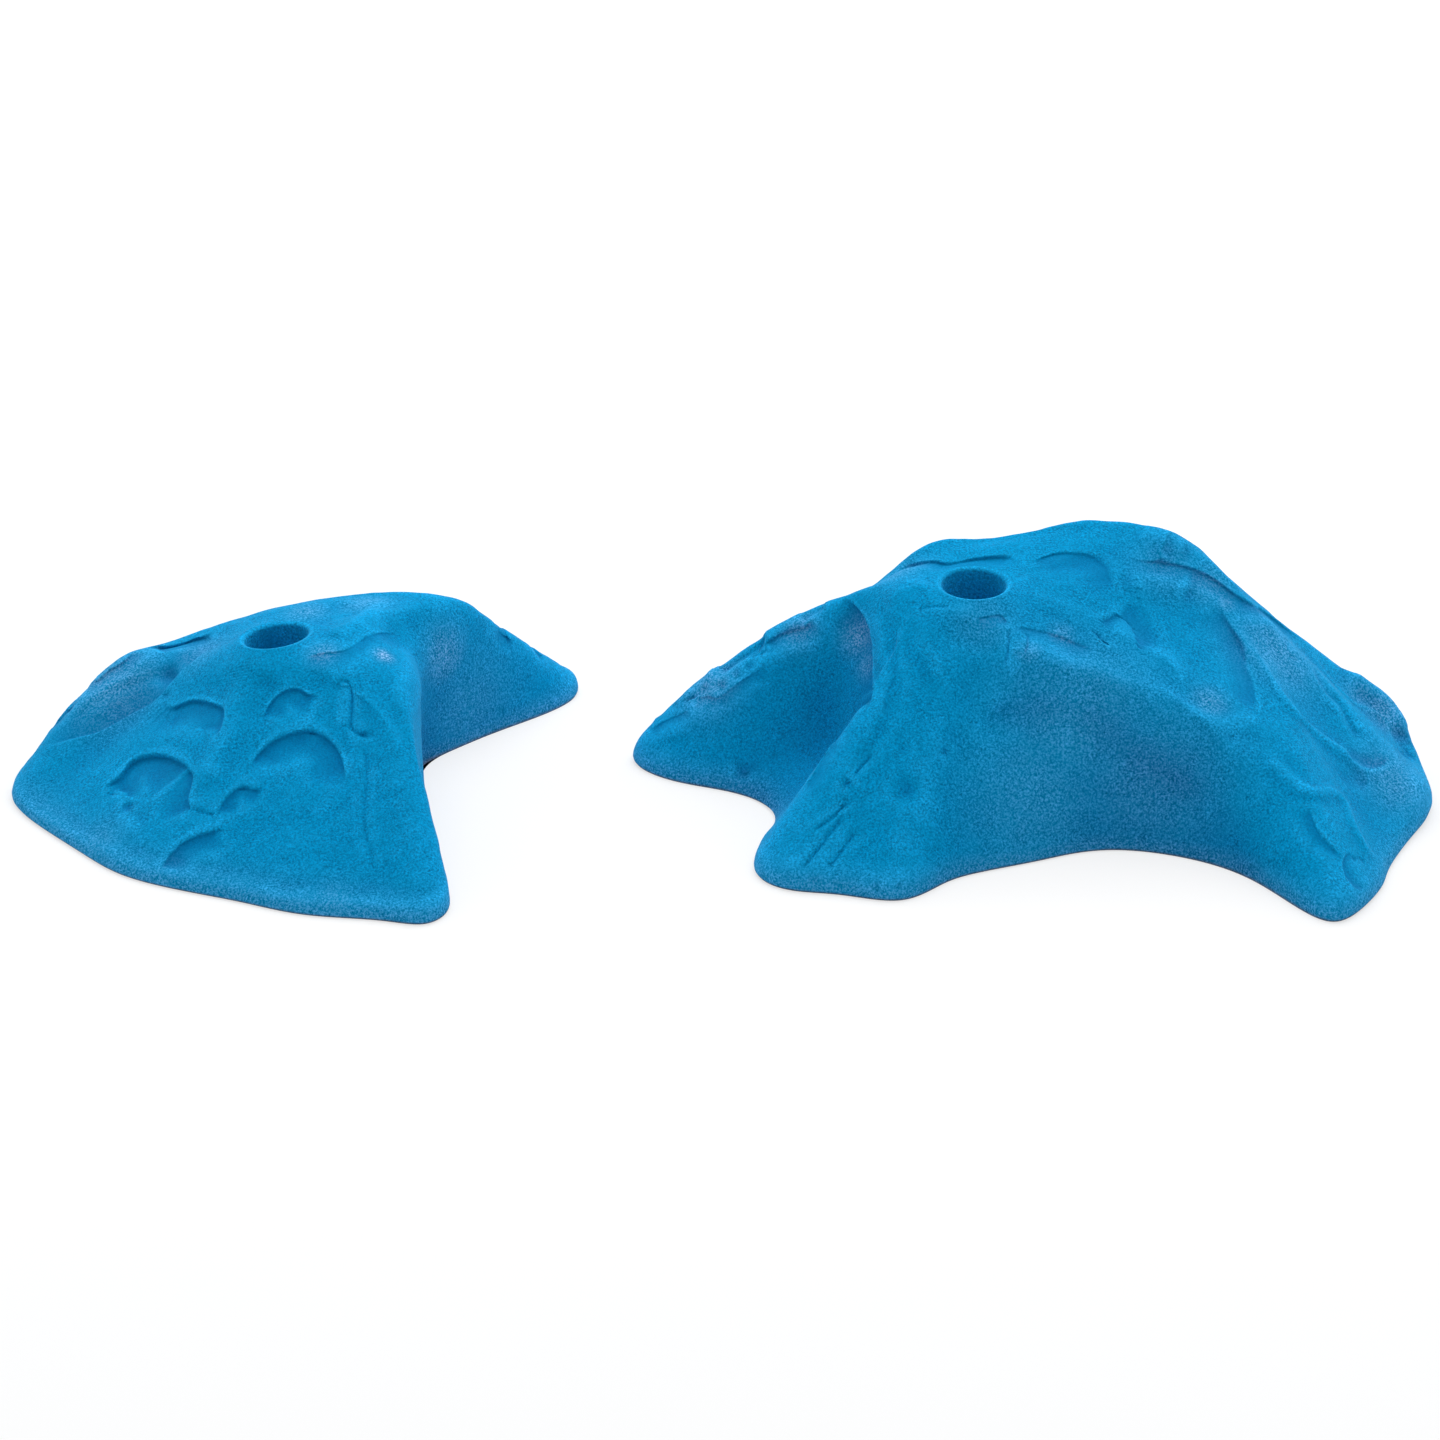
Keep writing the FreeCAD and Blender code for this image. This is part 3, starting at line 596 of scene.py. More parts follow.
def closed_splines(knot_points, columns):
    """Smooth closed curves through the ribs, as an array of step, column and xyz.

    Each is a periodic cubic spline. Its parameter grows with the square root of the
    ribs' mean spacing. The second derivatives at the ribs solve one linear system
    that wraps round, and columns are evenly spaced in the parameter.
    """
    following = np.roll(knot_points, -1, axis=0)
    spans = np.sqrt(np.linalg.norm(following - knot_points, axis=2).mean(axis=1))
    before = np.roll(spans, 1)
    count = len(spans)
    system = np.diag(2 * (before + spans))
    index = np.arange(count)
    system[index, (index + 1) % count] += spans
    system[index, index - 1] += before
    slopes = (following - knot_points) / spans[:, None, None]
    change = 6 * (slopes - np.roll(slopes, 1, axis=0))
    bend = np.linalg.solve(system, change.reshape(count, -1)).reshape(change.shape)

    starts = np.concatenate([[0], np.cumsum(spans)])
    places = np.arange(columns) * starts[-1] / columns
    rib = np.clip(np.searchsorted(starts, places, side="right") - 1, 0, count - 1)
    span = spans[rib][:, None, None]
    back = (starts[rib + 1] - places)[:, None, None]
    ahead = (places - starts[rib])[:, None, None]
    following_bend = np.roll(bend, -1, axis=0)
    curve = (bend[rib] * back ** 3 + following_bend[rib] * ahead ** 3) / (6 * span)
    curve += (knot_points[rib] / span - bend[rib] * span / 6) * back
    curve += (following[rib] / span - following_bend[rib] * span / 6) * ahead
    return curve.transpose(1, 0, 2)


def outside_rows(rings, row_count):
    """The outside between the rings, as an array of row, column and xyz.

    Up every column runs a cubic Hermite curve through the rings. Its slope at a ring
    blends the slopes of both sides, each weighted by the other's length, which keeps
    a short step from bulging. Rows are shared out by the bands' mean lengths.
    """
    steps = np.diff(rings, axis=0)
    lengths = np.linalg.norm(steps, axis=2, keepdims=True)
    slopes = steps / lengths
    inner = (lengths[1:] * slopes[:-1] + lengths[:-1] * slopes[1:]) / (lengths[1:] + lengths[:-1])
    tangents = np.concatenate([slopes[:1], inner, slopes[-1:]])
    means = lengths.mean(axis=(1, 2))
    counts = np.maximum(np.round(means / means.sum() * row_count).astype(int), 2)
    rows = []
    for band, count in enumerate(counts):
        share = (np.arange(count) / count)[:, None, None]
        start_weight = 1 - smooth_step(share)
        start_slope = share * (1 - share) ** 2 * lengths[band]
        end_slope = share ** 2 * (share - 1) * lengths[band]
        rows.append(rings[band] * start_weight + rings[band + 1] * (1 - start_weight)
                    + tangents[band] * start_slope + tangents[band + 1] * end_slope)
    rows.append(rings[-1:])
    return np.concatenate(rows)


def grid_normals(rows):
    """Unit normals of a grid of rows and columns: across the columns times up the rows."""
    along = np.roll(rows, -1, axis=1) - np.roll(rows, 1, axis=1)
    up = np.gradient(rows, axis=0)
    return unit(np.cross(along, up))


def grid_faces(row_count, column_count, closed=False):
    """Quads between neighbouring rows and columns. Columns close round, and rows if closed."""
    bands = row_count if closed else row_count - 1
    row, column = np.meshgrid(np.arange(bands), np.arange(column_count), indexing="ij")
    beside = (column + 1) % column_count
    above = (row + 1) % row_count
    quads = np.stack([row * column_count + column, row * column_count + beside,
                      above * column_count + beside, above * column_count + column],
                     axis=-1)
    return quads.reshape(-1, 4)


def bore_rows(mouth, axis, seat):
    """The mouth's round, the counterbore, the washer's pocket and the bolt hole.

    The round is a quarter ellipse from the mouth's ring to the bore, and every row
    below is a circle at the bearings of the mouth's ring.
    """
    centre = np.array([*axis, 0])
    upward = np.array([0, 0, 1])
    out = unit((mouth - centre) * (1, 1, 0))
    rows = []
    for turn in np.radians(np.linspace(0, 90, MOUTH_ROUND_ROWS + 1)[1:]):
        radius = MOUTH_R - (MOUTH_R - HEAD_BORE_R) * math.sin(turn)
        depth = MOUTH_ROUND * (1 - math.cos(turn))
        rows.append(centre + out * radius + upward * (mouth[:, 2:] - depth))
    washer_top = seat + WASHER_THICKNESS
    for radius, height in ((HEAD_BORE_R, washer_top), (WASHER_R, washer_top), (WASHER_R, seat),
                           (BOLT_HOLE_R, seat), (BOLT_HOLE_R, seat / 2), (BOLT_HOLE_R, 0)):
        rows.append(centre + out * radius + upward * height)
    return np.stack(rows)


def back_rows(rings):
    """The flat back from the bolt hole out to the foot, as rows at height 0.

    They lie under the rings of the outside, so none crosses another where the outline
    turns in.
    """
    rows = rings[:BACK_RING_COUNT:-2].copy()
    rows[:, :, 2] = 0
    return rows


class Surface:
    """The smooth outside of a hold: its grid, its normals and a tree to find points on it."""

    def __init__(self, hold, axis):
        self.rings = closed_splines(rib_points(hold), hold["columns"]) + (*axis, 0)
        self.rows = outside_rows(self.rings, hold["rows"])
        self.normals = grid_normals(self.rows)
        quads = grid_faces(*self.rows.shape[:2])
        self.tree = BVHTree.FromPolygons(self.rows.reshape(-1, 3).tolist(), quads.tolist())

    def seen_at(self, pixels):
        """Points and normals where the camera sees these pixels on the surface."""
        place, ways = sight_lines(pixels)
        hits = [self.tree.ray_cast(Vector(place), Vector(way))[:2] for way in ways]
        hits = [(tuple(point), tuple(normal)) for point, normal in hits if point is not None]
        return np.array(hits).transpose(1, 0, 2) if hits else np.zeros((2, 0, 3))

    def nearest_to(self, points):
        """Points and normals of the surface nearest to these points."""
        hits = [self.tree.find_nearest(Vector(point))[:2] for point in points]
        hits = [(tuple(point), tuple(normal)) for point, normal in hits]
        return np.array(hits).transpose(1, 0, 2)

    def bells(self, spots):
        """The last value of each spot, and a bell curve of its radius round where it is seen."""
        points = self.rows.reshape(-1, 3)
        for column, row, radius, value in spots:
            for centre in self.seen_at([(column, row)])[0]:
                distance = np.linalg.norm(points - centre, axis=1)
                yield value, np.exp(-(distance / (radius * MM)) ** 2)


def even_points(corners, spacing):
    """Points at this spacing along a smooth line through the corners (Catmull-Rom)."""
    corners = np.asarray(corners, dtype=float)
    before = 2 * corners[:1] - corners[1:2]
    after = 2 * corners[-1:] - corners[-2:-1]
    padded = np.concatenate([before, corners, after])
    share = np.linspace(0, 1, CURVE_STEPS, endpoint=False)[:, None]
    pieces = []
    for a, b, c, d in zip(padded, padded[1:], padded[2:], padded[3:]):
        pieces.append(b + 0.5 * share * (c - a + share * (2 * a - 5 * b + 4 * c - d
                                                         + share * (3 * b - a - 3 * c + d))))
    line = np.concatenate([*pieces, corners[-1:]])
    travelled = np.concatenate([[0], np.cumsum(np.linalg.norm(np.diff(line, axis=0), axis=1))])
    count = max(int(travelled[-1] / spacing), 3)
    places = np.linspace(0, travelled[-1], count)
    return np.stack([np.interp(places, travelled, values) for values in line.T], axis=1)


def mark_relief(surface, path, normals, kind, depth, reach, carving):
    """Adds one carved mark along a path on the surface to the carving.

    Every point of the surface takes its nearest point of the path and its distance
    across it, positive on the pen's right. A ledge drops within CLIFF_WIDTH and runs
    out again over the reach. A groove and a ridge are bell curves. All fade out
    towards the ends of the path. Points near a sharp mark are also drawn towards it,
    by a power of their distance, which sharpens its edge.
    """
    across = np.cross(unit(np.gradient(path, axis=0)), normals)
    margin = (LEDGE_MARGIN if kind == "ledge" else BELL_MARGIN) * reach
    low = path.min(axis=0) - margin
    high = path.max(axis=0) + margin
    points = surface.rows.reshape(-1, 3)
    near = np.flatnonzero(np.all((points > low) & (points < high), axis=1))
    offsets = points[near, None] - path[None]
    distances = np.linalg.norm(offsets, axis=2)
    nearest = distances.argmin(axis=1)
    picked = np.arange(len(near))
    aside = np.einsum("ij,ij->i", offsets[picked, nearest], across[nearest])
    distance = distances[picked, nearest]
    along = nearest / (len(path) - 1)
    fade = smooth_step(np.minimum(along, 1 - along) / END_FADE_SHARE)
    beyond = np.sqrt(np.maximum(distance ** 2 - aside ** 2, 0))
    fade *= np.exp(-(beyond / reach) ** 2)
    if kind == "ledge":
        start, end = RUN_OUT_SHARES
        run_out = 1 - smooth_step((aside - start * reach) / ((end - start) * reach))
        drop = smooth_step(aside / CLIFF_WIDTH + 0.5) * run_out
        lift = RIM_SHARE * np.exp(-(np.minimum(aside, 0) / RIM_WIDTH) ** 2) * (aside < 0)
        change = lift - drop
        rubs_and_highlight = np.exp(-((aside + CLIFF_WIDTH / 2) / RUB_HIGHLIGHT_WIDTH) ** 2)
        carving["planed"][near] = np.maximum(carving["planed"][near], fade * drop)
    else:
        bell = np.exp(-(aside / reach) ** 2)
        change = bell if kind == "ridge" else -bell
        rubs_and_highlight = bell if kind == "ridge" else 0 * bell
    carving["relief"][near] += depth * fade * change
    if kind == "ledge" or reach < PULL_REACH / 2:
        part = np.minimum(np.abs(aside) / PULL_REACH, 1)
        closer = PULL_REACH * part * (part ** PULL_POWER - 1) * np.sign(aside)
        carving["pull"][near] += across[nearest] * (closer * fade)[:, None]
    # A mark's rim or ridge crest takes wear and a painted highlight.
    slope = depth / (2 * CLIFF_WIDTH if kind == "ledge" else reach)
    wear_and_highlight = fade * rubs_and_highlight * min(slope / WEAR_HIGHLIGHT_SLOPE, 1)
    carving["wear_highlight_share"][near] = np.maximum(carving["wear_highlight_share"][near], wear_and_highlight)


def random_chips(surface, count, seed):
    """Arched ledges on the sides that the camera doesn't see, drawn by chance.

    A chip is an arc round a random point of the wall or the crown, in the plane that
    touches it, and lies down on the surface at its nearest points.
    """
    chance = np.random.default_rng(seed)
    row_count, column_count = surface.rows.shape[:2]
    first_row, end_row = [int(row_count * share) for share in CHIP_ROW_SHARES]
    chips = []
    while len(chips) < count:
        row = chance.integers(first_row, end_row)
        column = chance.integers(0, column_count)
        radius = chance.uniform(*CHIP_RADIUS_MM) * MM
        span = chance.uniform(*CHIP_SPAN_DEGREES)
        turn = chance.uniform(*CHIP_TURN_DEGREES)
        depth = chance.uniform(*CHIP_DEPTH_MM) * MM
        squash = chance.uniform(*CHIP_SQUASH_SHARES)
        centre = surface.rows[row, column]
        normal = surface.normals[row, column]
        if normal[1] < AWAY_SHARE:
            continue
        side = unit(np.cross(normal, (0, 0, 1)))
        up = np.cross(side, normal)
        angles = np.radians(np.linspace(90 + span / 2, 90 - span / 2, CHIP_POINTS) + turn)
        wobble = 1 + CHIP_WAVE_SHARE * np.sin(angles * CHIP_WAVES + turn)
        arc = (centre + side * (np.cos(angles) * radius * wobble)[:, None]
               + up * (np.sin(angles) * radius * wobble * squash)[:, None])
        path, normals = surface.nearest_to(arc)
        chips.append((path, normals, depth, radius))
    return chips


def grid_convexity(rows, normals, reach):
    """How far the surface stands out of its surroundings, in metres: convex is positive.

    It is the drop of the mean of four neighbours, a set distance away along the rows
    and columns, below the surface, measured along its normal.
    """
    across = np.linalg.norm(np.roll(rows, -1, axis=1) - rows, axis=2).mean()
    upward = np.linalg.norm(np.diff(rows, axis=0), axis=2).mean()
    column_step = max(int(round(reach / across)), 1)
    row_step = max(int(round(reach / upward)), 1)
    index = np.arange(len(rows))
    above = rows[np.minimum(index + row_step, len(rows) - 1)]
    below = rows[np.maximum(index - row_step, 0)]
    mean = (np.roll(rows, column_step, axis=1) + np.roll(rows, -column_step, axis=1)
            + above + below) / 4
    return np.einsum("ijk,ijk->ij", rows - mean, normals)


def casting_geometry(hold, axis, seat, settings):
    """Points and the shares of one casting: wear with a painted highlight, painted shade, scuffs with a
    painted sheen, and planing.

    The outside is the smooth form moved along its normals by the relief: ripples,
    traced marks, dents and chance chips, which run out at the foot and the mouth.
    Below it come the bore and the flat back, and the grid closes on itself. The whole bore takes the
    paler worn colour, a painted light that lifts the shade in it.
    """
    surface = Surface(hold, axis)
    shape = surface.rows.shape[:2]
    points = surface.rows.reshape(-1, 3)
    count = len(points)
    carving = {"relief": np.zeros(count), "wear_highlight_share": np.zeros(count), "planed": np.zeros(count),
               "pull": np.zeros((count, 3))}

    for kind, depth, reach, corners in hold["marks"]:
        path, normals = surface.seen_at(even_points(corners, MARK_STEP_PX))
        if len(path) > 2:
            mark_relief(surface, path, normals, kind, depth * MM * settings.mark_depth,
                        reach * MM, carving)
    for path, normals, depth, radius in random_chips(surface, settings.chip_count, hold["seed"]):
        mark_relief(surface, path, normals, "ledge", depth * settings.mark_depth,
                    radius * CHIP_REACH_SHARE, carving)
    relief = carving["relief"]
    for depth, bell in surface.bells(hold["dents"]):
        relief -= depth * MM * settings.mark_depth * bell
    scuff_and_sheen_shares = FOOT_RUB_SHARE * np.exp(-(points[:, 2] / FOOT_FADE) ** 2)
    # Scuffs, and painted sheen on facets and edges that face away.
    for strength, bell in surface.bells(hold["scuffs_and_sheen"]):
        scuff_and_sheen_shares = np.maximum(scuff_and_sheen_shares, strength * bell)

    for share, amount in RIPPLE_SHARES:
        relief += amount * settings.ripple * lattice_noise(
            points, settings.ripple_width * share, hold["seed"] + int(RIPPLE_SEED_STEP * share))
    from_axis = np.linalg.norm(points[:, :2] - axis, axis=1)
    hold_back = smooth_step((points[:, 2] - EDGE_HEIGHT) / FOOT_FADE)
    hold_back *= smooth_step((from_axis - MOUTH_R) / MOUTH_FADE)
    relief *= hold_back
    pull = (carving["pull"] * hold_back[:, None]).reshape(*shape, 3)

    outside = surface.rows + pull + surface.normals * relief.reshape(*shape, 1)
    normals = grid_normals(outside)
    crest = grid_convexity(outside, normals, CREST_REACH) / CREST_HEIGHT
    broad = grid_convexity(outside, normals, HOLLOW_REACH) / HOLLOW_DEPTH
    # Crests take wear and a painted highlight in the paler colour.
    wear_highlight_share = np.clip(np.maximum(RUB_HIGHLIGHT_STRENGTH * carving["wear_highlight_share"].reshape(shape), crest), 0, 1)
    wear_highlight_share *= hold_back.reshape(shape)
    # Painted shade: broad hollows and fine crevices take the deeper blue.
    deep_tone_and_shade = np.clip(np.maximum(-broad, -CREVICE_SHADE_SHARE * crest), 0, 1)

    bore = bore_rows(surface.rings[-1], axis, seat)
    rows = np.concatenate([outside, bore, back_rows(surface.rings)])
    shares = np.zeros((len(ATTRIBUTE_NAMES), *rows.shape[:2]))
    shares[:, :shape[0]] = wear_highlight_share, deep_tone_and_shade, scuff_and_sheen_shares.reshape(shape), carving["planed"].reshape(shape)
    # The whole bore takes the paler colour: painted light lifting its shade.
    shares[0, shape[0]:shape[0] + len(bore)] = 1
    return rows, shares


def mesh_object(name, rows, shares):
    """A closed, smoothly shaded mesh of the grid, with the shares as attributes."""
    faces = grid_faces(*rows.shape[:2], closed=True)
    mesh = bpy.data.meshes.new(name)
    mesh.from_pydata(rows.reshape(-1, 3).tolist(), [], faces.tolist())
    for attribute_name, values in zip(ATTRIBUTE_NAMES, shares):
        attribute = mesh.attributes.new(attribute_name, "FLOAT", "POINT")
        attribute.data.foreach_set("value", values.ravel().astype(np.float32))
    mesh.shade_smooth()
    mesh.set_sharp_from_angle(angle=SHARP_ANGLE)
    mesh.validate()
    piece = bpy.data.objects.new(name, mesh)
    bpy.context.scene.collection.objects.link(piece)
    return piece


def add_node(tree, kind, values=None, links=None, **settings):
    """Adds a node, sets it up and its sockets, and links (node, output) to its inputs."""
    node = tree.nodes.new(kind)
    for name, value in settings.items():
        setattr(node, name, value)
    for socket, value in (values or {}).items():
        node.inputs[socket].default_value = value
    for socket, (source, output) in (links or {}).items():
        tree.links.new(source.outputs[output], node.inputs[socket])
    return node


def new_material(name):
    """An empty node material with its tree."""
    material = bpy.data.materials.new(name)
    material.use_nodes = True
    material.node_tree.nodes.clear()
    return material, material.node_tree


def noise(tree, place, width, detail=2.0, roughness=0.5):
    """The value of a noise of this width at a place, a (node, output)."""
    node = add_node(tree, "ShaderNodeTexNoise",
                    {"Scale": 1 / width, "Detail": detail, "Roughness": roughness},
                    {"Vector": place})
    return node, "Fac"


def moved(tree, source, span, onto):
    """Moves one span of a (node, output) onto another span and holds it there."""
    node = add_node(tree, "ShaderNodeMapRange",
                    {"From Min": span[0], "From Max": span[1], "To Min": onto[0], "To Max": onto[1]},
                    {"Value": source})
    return node, "Result"


def either(inputs):
    """Sorts numbered inputs into plain values and links, which are (node, output)."""
    links = {socket: value for socket, value in inputs.items()
             if isinstance(value, tuple) and isinstance(value[0], bpy.types.Node)}
    return {socket: value for socket, value in inputs.items() if socket not in links}, links


def worked_out(tree, operation, *inputs):
    """Does a sum with numbers and (node, output)s."""
    node = add_node(tree, "ShaderNodeMath", *either(dict(enumerate(inputs))), operation=operation)
    return node, 0


def mixed_colour(tree, factor, first, second):
    """Mixes two colours; each is a colour or (node, output), the factor a (node, output)."""
    node = add_node(tree, "ShaderNodeMix", *either({0: factor, 6: first, 7: second}),
                    data_type="RGBA")
    return node, 2


def cast_polyurethane(casting, colours):
    """Polyurethane cast in a silicone mould of sand-coated foam.

    The pigment runs through it, so it is one blue with almost no gloss. The sand
    leaves a fine matt grain, coarser in places and finer where the carver's blade
    planed it. Crests are rubbed paler and greyer, which also paints a highlight on
    them, hollows and crevices take a painted shade of deeper blue, and planed places
    keep a deeper blue too. Hands leave chalky rubs, and the same pale colour paints a sheen on facets
    that face away. A thin grey line of painted shade runs along the foot.
    """
    material, tree = new_material(CASTING_MATERIAL)
    here = (add_node(tree, "ShaderNodeTexCoord"), "Object")
    grain = noise(tree, here, casting.grain_size, 3.0, 0.65)
    mottle = noise(tree, here, MOTTLE_WIDTH, 4.0, 0.6)
    wear_and_highlight, deep_tone_and_shade, rubs_and_highlight, planed = [
        (add_node(tree, "ShaderNodeAttribute", attribute_name=name), "Fac")
        for name in ATTRIBUTE_NAMES]

    # Painted shade in the hollows, together with the random mottle, mixes towards the deeper blue.
    tone_and_shade = worked_out(tree, "ADD", moved(tree, mottle, DEEP_SPAN, DEEP_SHARES), deep_tone_and_shade)
    tone_shade_and_planing = worked_out(tree, "MULTIPLY_ADD", planed, PLANED_DEEPER_SHARE, tone_and_shade)
    colour = mixed_colour(tree, tone_shade_and_planing, colours.pigment, colours.deep_tone_and_shade)
    # Wear and painted highlight on crests and rims.
    wear_highlight_share = worked_out(tree, "MULTIPLY", wear_and_highlight, moved(tree, mottle, NOISE_SPAN, WEAR_HIGHLIGHT_SHARES))
    colour = mixed_colour(tree, wear_highlight_share, colour, colours.wear_and_highlight)
    # Chalky scuffs and painted sheen in the pale colour.
    chalk_and_sheen = worked_out(tree, "MULTIPLY", rubs_and_highlight, moved(tree, grain, CHALK_AND_SHEEN_SPAN, WHOLE_SPAN))
    colour = mixed_colour(tree, chalk_and_sheen, colour, colours.scuff_and_sheen)
    # Painted shade: a thin grey line along the foot, up to its height.
    height = (add_node(tree, "ShaderNodeSeparateXYZ", {}, {"Vector": here}), "Z")
    low = moved(tree, height, (FOOT_SHADE_HEIGHT, 0.0), FOOT_SHADE_SHARES)
    colour = mixed_colour(tree, low, colour, colours.foot_shade)

    coarse = moved(tree, mottle, NOISE_SPAN, COARSE_SHARES)
    sand = worked_out(tree, "MULTIPLY", coarse, moved(tree, planed, WHOLE_SPAN, SMOOTHED_SHARES))
    swing = moved(tree, grain, NOISE_SPAN, SPECKLE_SHARES)
    speckle = worked_out(tree, "MULTIPLY_ADD", swing, sand, 1.0)
    sandy = add_node(tree, "ShaderNodeHueSaturation", {}, {"Color": colour, "Value": speckle})
    bump = add_node(tree, "ShaderNodeBump", {"Distance": casting.grain_height},
                    {"Height": grain, "Strength": sand})
    shader = add_node(tree, "ShaderNodeBsdfPrincipled",
                      {"Roughness": 0.7, "IOR": 1.5, "Specular IOR Level": 0.015,
                       "Sheen Weight": 0.03, "Sheen Roughness": 0.25},
                      {"Base Color": (sandy, "Color"), "Normal": (bump, "Normal")})
    add_node(tree, "ShaderNodeOutputMaterial", {}, {"Surface": (shader, "BSDF")})
    return material


def zinc_plated_steel(name, centre, colours):
    """Steel washer, stamped from sheet, tumbled and zinc plated.

    Plating gives an even grey metal of a soft gloss. The turned lines of the tool run
    round its hole, and its spangle is a faint cloudiness.
    """
    material, tree = new_material(name)
    here = (add_node(tree, "ShaderNodeTexCoord"), "Object")
    centred = (add_node(tree, "ShaderNodeMapping", {"Location": [-part for part in centre]},
                        {"Vector": here}), "Vector")
    turned = add_node(tree, "ShaderNodeTexWave",
                      {"Scale": 1 / TURNED_RADIAN_WIDTH / RADIANS_PER_SCALE, "Distortion": 0.6,
                       "Detail": 2.0},
                      {"Vector": centred}, wave_type="RINGS", rings_direction="Z")
    cloud = noise(tree, centred, CLOUD_WIDTH, 3.0)
    plated = add_node(tree, "ShaderNodeHueSaturation", {"Color": colours.zinc},
                      {"Value": moved(tree, cloud, NOISE_SPAN, SPANGLE_SHARES)})
    bump = add_node(tree, "ShaderNodeBump", {"Strength": 0.3, "Distance": TURNED_LINE_DEPTH},
                    {"Height": (turned, "Fac")})
    shader = add_node(tree, "ShaderNodeBsdfPrincipled", {"Metallic": 1.0},
                      {"Base Color": (plated, "Color"), "Normal": (bump, "Normal"),
                       "Roughness": moved(tree, cloud, WHOLE_SPAN, PLATING_ROUGHNESS)})
    add_node(tree, "ShaderNodeOutputMaterial", {}, {"Surface": (shader, "BSDF")})
    return material


def seen_directly(tree):
    """1 for rays from the camera, off a glossy surface or through a clear one."""
    path = add_node(tree, "ShaderNodeLightPath")
    direct = worked_out(tree, "MAXIMUM", (path, "Is Camera Ray"), (path, "Is Glossy Ray"))
    return worked_out(tree, "MAXIMUM", direct, (path, "Is Transmission Ray"))


def white_floor(colours):
    """Matt white board that shows nearly white, and keeps part of the holds' shadow."""
    material, tree = new_material("matt white painted board")
    here = (add_node(tree, "ShaderNodeTexCoord"), "Object")
    cloud = noise(tree, here, FLOOR_CLOUD_WIDTH)
    board = add_node(tree, "ShaderNodeBsdfDiffuse", {"Color": colours.floor},
                     {"Roughness": moved(tree, cloud, WHOLE_SPAN, BOARD_ROUGHNESS)})
    glow = add_node(tree, "ShaderNodeEmission", {"Color": WHITE, "Strength": 1.0})
    share = worked_out(tree, "MULTIPLY", seen_directly(tree), FLOOR_GLOW_SHARE)
    mixed = add_node(tree, "ShaderNodeMixShader", {},
                     {0: share, 1: (board, "BSDF"), 2: (glow, "Emission")})
    add_node(tree, "ShaderNodeOutputMaterial", {}, {"Surface": (mixed, "Shader")})
    return material


def white_world(sky):
    """A world that is white to the camera and lights the holds evenly at the sky's level."""
    world = bpy.data.worlds.new("white studio")
    world.use_nodes = True
    tree = world.node_tree
    tree.nodes.clear()
    strength = moved(tree, seen_directly(tree), WHOLE_SPAN, (sky, 1.0))
    background = add_node(tree, "ShaderNodeBackground", {"Color": WHITE}, {"Strength": strength})
    add_node(tree, "ShaderNodeOutputWorld", {}, {"Surface": (background, "Background")})
    return world


def soft_box(name, place, side, power):
    """A square lamp at a place, turned to the holds."""
    lamp = bpy.data.lights.new(name, "AREA")
    lamp.energy = power
    lamp.size = side
    holder = bpy.data.objects.new(name, lamp)
    holder.location = place
    holder.rotation_euler = (-Vector(place)).to_track_quat("-Z", "Y").to_euler()
    bpy.context.scene.collection.objects.link(holder)


def make_casting(context, size_name):
    """Makes one casting, gives it its material and lets it stand for its solid."""
    settings = context.scene.climbing_holds
    low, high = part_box(size_name + "_hold_washer")
    axis = ((low[0] + high[0]) / 2, (low[1] + high[1]) / 2)
    rows, shares = casting_geometry(HOLDS[size_name], axis, low[2], settings.casting)
    piece = mesh_object(size_name + "_casting", rows, shares)
    material = bpy.data.materials.get(CASTING_MATERIAL)
    if material is None:
        material = cast_polyurethane(settings.casting, settings.colours)
    piece.data.materials.append(material)
    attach(piece, size_name + "_hold")
    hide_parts(size_name + "_hold_body")


class CLIMBING_OT_large_casting(bpy.types.Operator):
    """Make the large hold's casting"""

    bl_idname = "climbing.large_casting"
    bl_label = "Large casting"

    def execute(self, context):
        make_casting(context, "large")
        return {"FINISHED"}


class CLIMBING_OT_small_casting(bpy.types.Operator):
    """Make the small hold's casting"""

    bl_idname = "climbing.small_casting"
    bl_label = "Small casting"

    def execute(self, context):
        make_casting(context, "small")
        return {"FINISHED"}


class CLIMBING_OT_washers(bpy.types.Operator):
    """Give both washers their zinc plating"""

    bl_idname = "climbing.washers"
    bl_label = "Washers"

    def execute(self, context):
        colours = context.scene.climbing_holds.colours
        for node in ("large_hold_washer", "small_hold_washer"):
            low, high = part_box(node)
            centre = [(start + end) / 2 for start, end in zip(low, high)]
            plating = zinc_plated_steel("zinc plated steel of " + node, centre, colours)
            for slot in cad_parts[node].material_slots:
                slot.material = plating
        return {"FINISHED"}


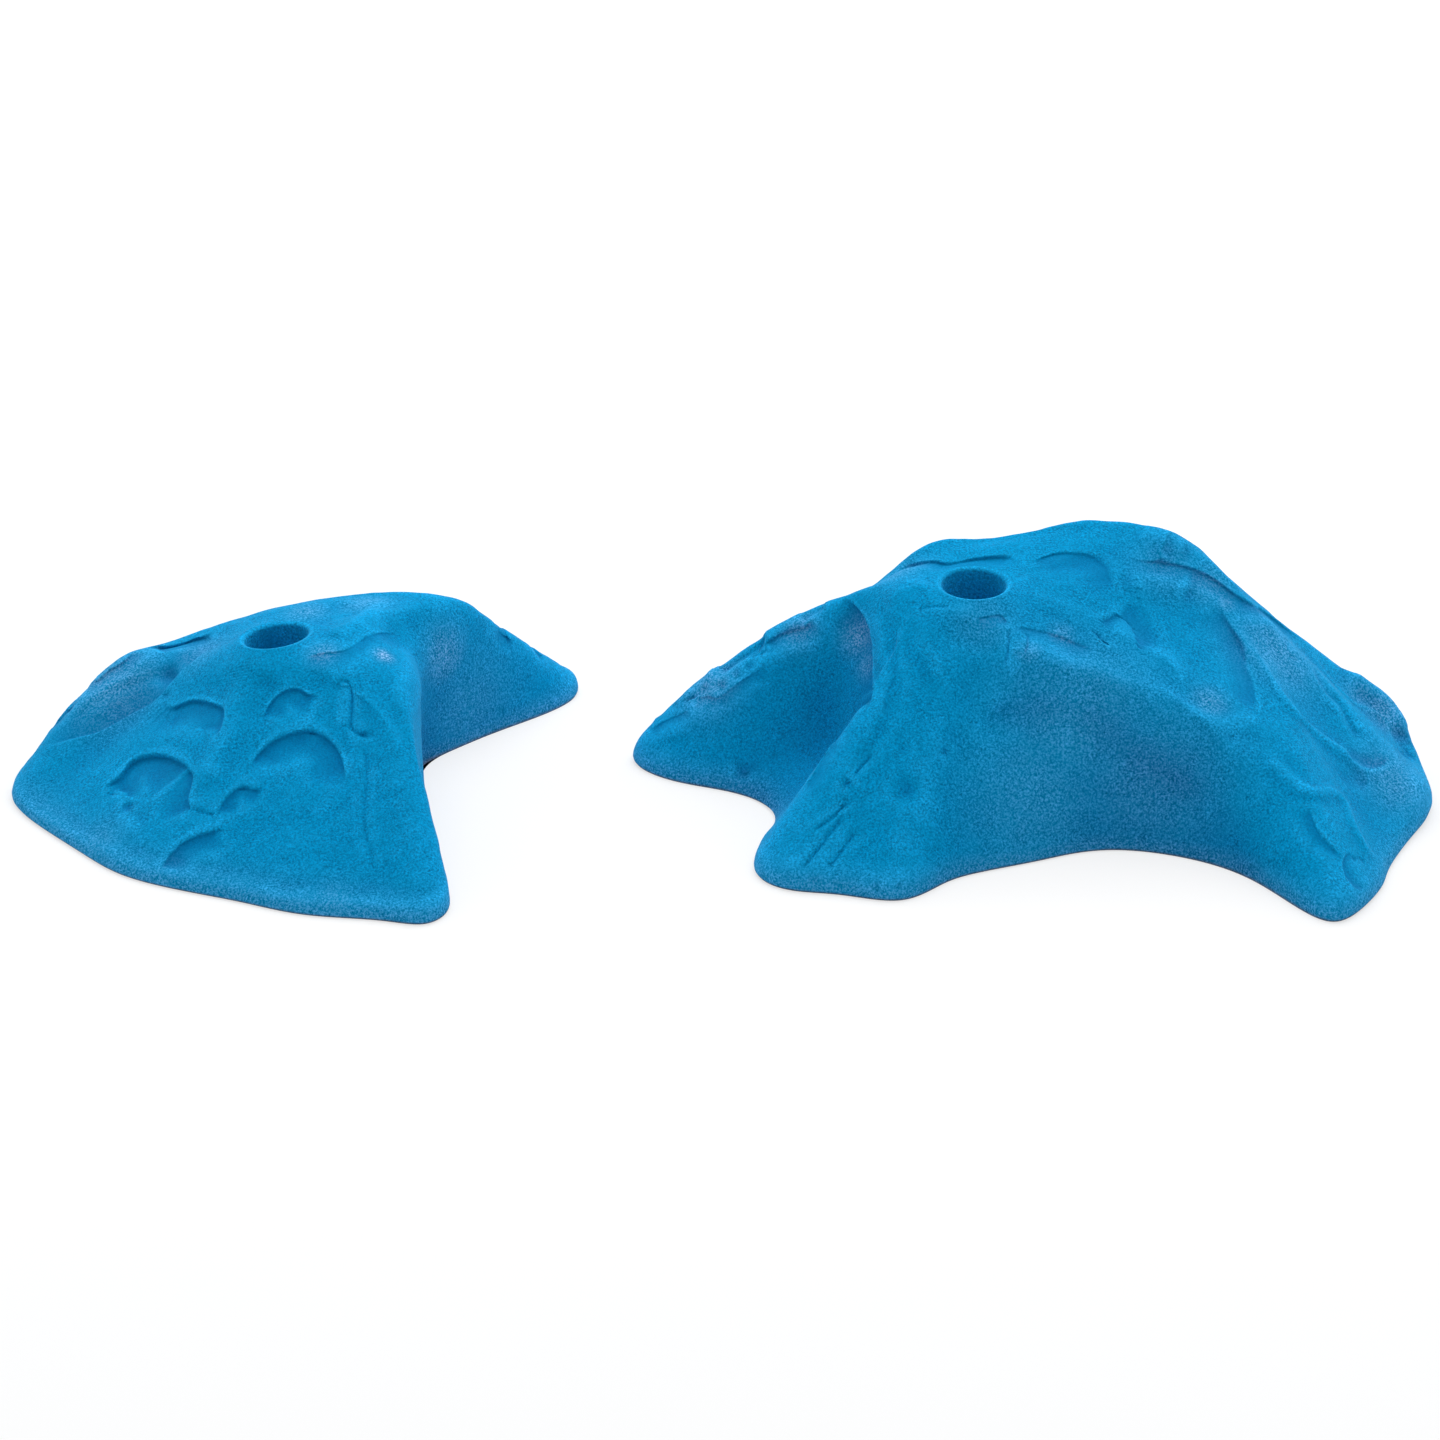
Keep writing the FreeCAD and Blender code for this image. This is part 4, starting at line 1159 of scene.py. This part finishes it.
class CLIMBING_OT_stage(bpy.types.Operator):
    """Set up the floor, the light and the camera"""

    bl_idname = "climbing.stage"
    bl_label = "Stage"

    def execute(self, context):
        settings = context.scene.climbing_holds
        mesh = bpy.data.meshes.new("floor")
        half = FLOOR_SIDE / 2
        corners = ((-half, -half), (half, -half), (half, half), (-half, half))
        mesh.from_pydata([(x, y, -FLOOR_GAP) for x, y in corners], [], [(0, 1, 2, 3)])
        floor = bpy.data.objects.new("floor", mesh)
        floor.data.materials.append(white_floor(settings.colours))
        context.scene.collection.objects.link(floor)

        stage = settings.stage
        context.scene.world = white_world(stage.sky)
        soft_box("overhead soft box", OVERHEAD_PLACE, stage.overhead_side, stage.overhead)
        for rim_place in RIM_PLACES:
            soft_box("rim soft box", rim_place, RIM_SIDE, stage.rim)

        camera = bpy.data.cameras.new("camera")
        camera.sensor_width = SENSOR_WIDTH / MM
        camera.lens = CAMERA_DISTANCE * SENSOR_WIDTH / (PHOTO_SIDE_PX * PIXEL_SIZE) / MM
        holder = bpy.data.objects.new("camera", camera)
        holder.location = camera_frame()[0]
        holder.rotation_euler = (math.pi / 2 - CAMERA_ELEVATION, 0, 0)
        context.scene.collection.objects.link(holder)
        context.scene.camera = holder
        context.scene.view_settings.view_transform = "Standard"
        return {"FINISHED"}


class CLIMBING_PT_panel(bpy.types.Panel):
    """Lists the operators and the settings"""

    bl_idname = "CLIMBING_PT_panel"
    bl_label = "Climbing Holds"
    bl_space_type = "VIEW_3D"
    bl_region_type = "UI"
    bl_category = "Climbing Holds"

    def draw(self, context):
        settings = context.scene.climbing_holds
        for operator in OPERATORS:
            self.layout.operator(operator.bl_idname)
        for group in (settings.casting, settings.colours, settings.stage):
            box = self.layout.box()
            for name in group.bl_rna.properties.keys():
                if name not in ("rna_type", "name"):
                    box.prop(group, name)


OPERATORS = (
    CLIMBING_OT_large_casting,
    CLIMBING_OT_small_casting,
    CLIMBING_OT_washers,
    CLIMBING_OT_stage,
)
CLASSES = (
    CastingSettings,
    ColourSettings,
    StageSettings,
    ClimbingHoldSettings,
    *OPERATORS,
    CLIMBING_PT_panel,
)


def register():
    for item in CLASSES:
        bpy.utils.register_class(item)
    bpy.types.Scene.climbing_holds = bpy.props.PointerProperty(type=ClimbingHoldSettings)


def unregister():
    del bpy.types.Scene.climbing_holds
    for item in reversed(CLASSES):
        bpy.utils.unregister_class(item)


def main():
    register()
    bpy.ops.climbing.stage()
    bpy.ops.climbing.large_casting()
    bpy.ops.climbing.small_casting()
    bpy.ops.climbing.washers()


if __name__ == "__main__":
    main()
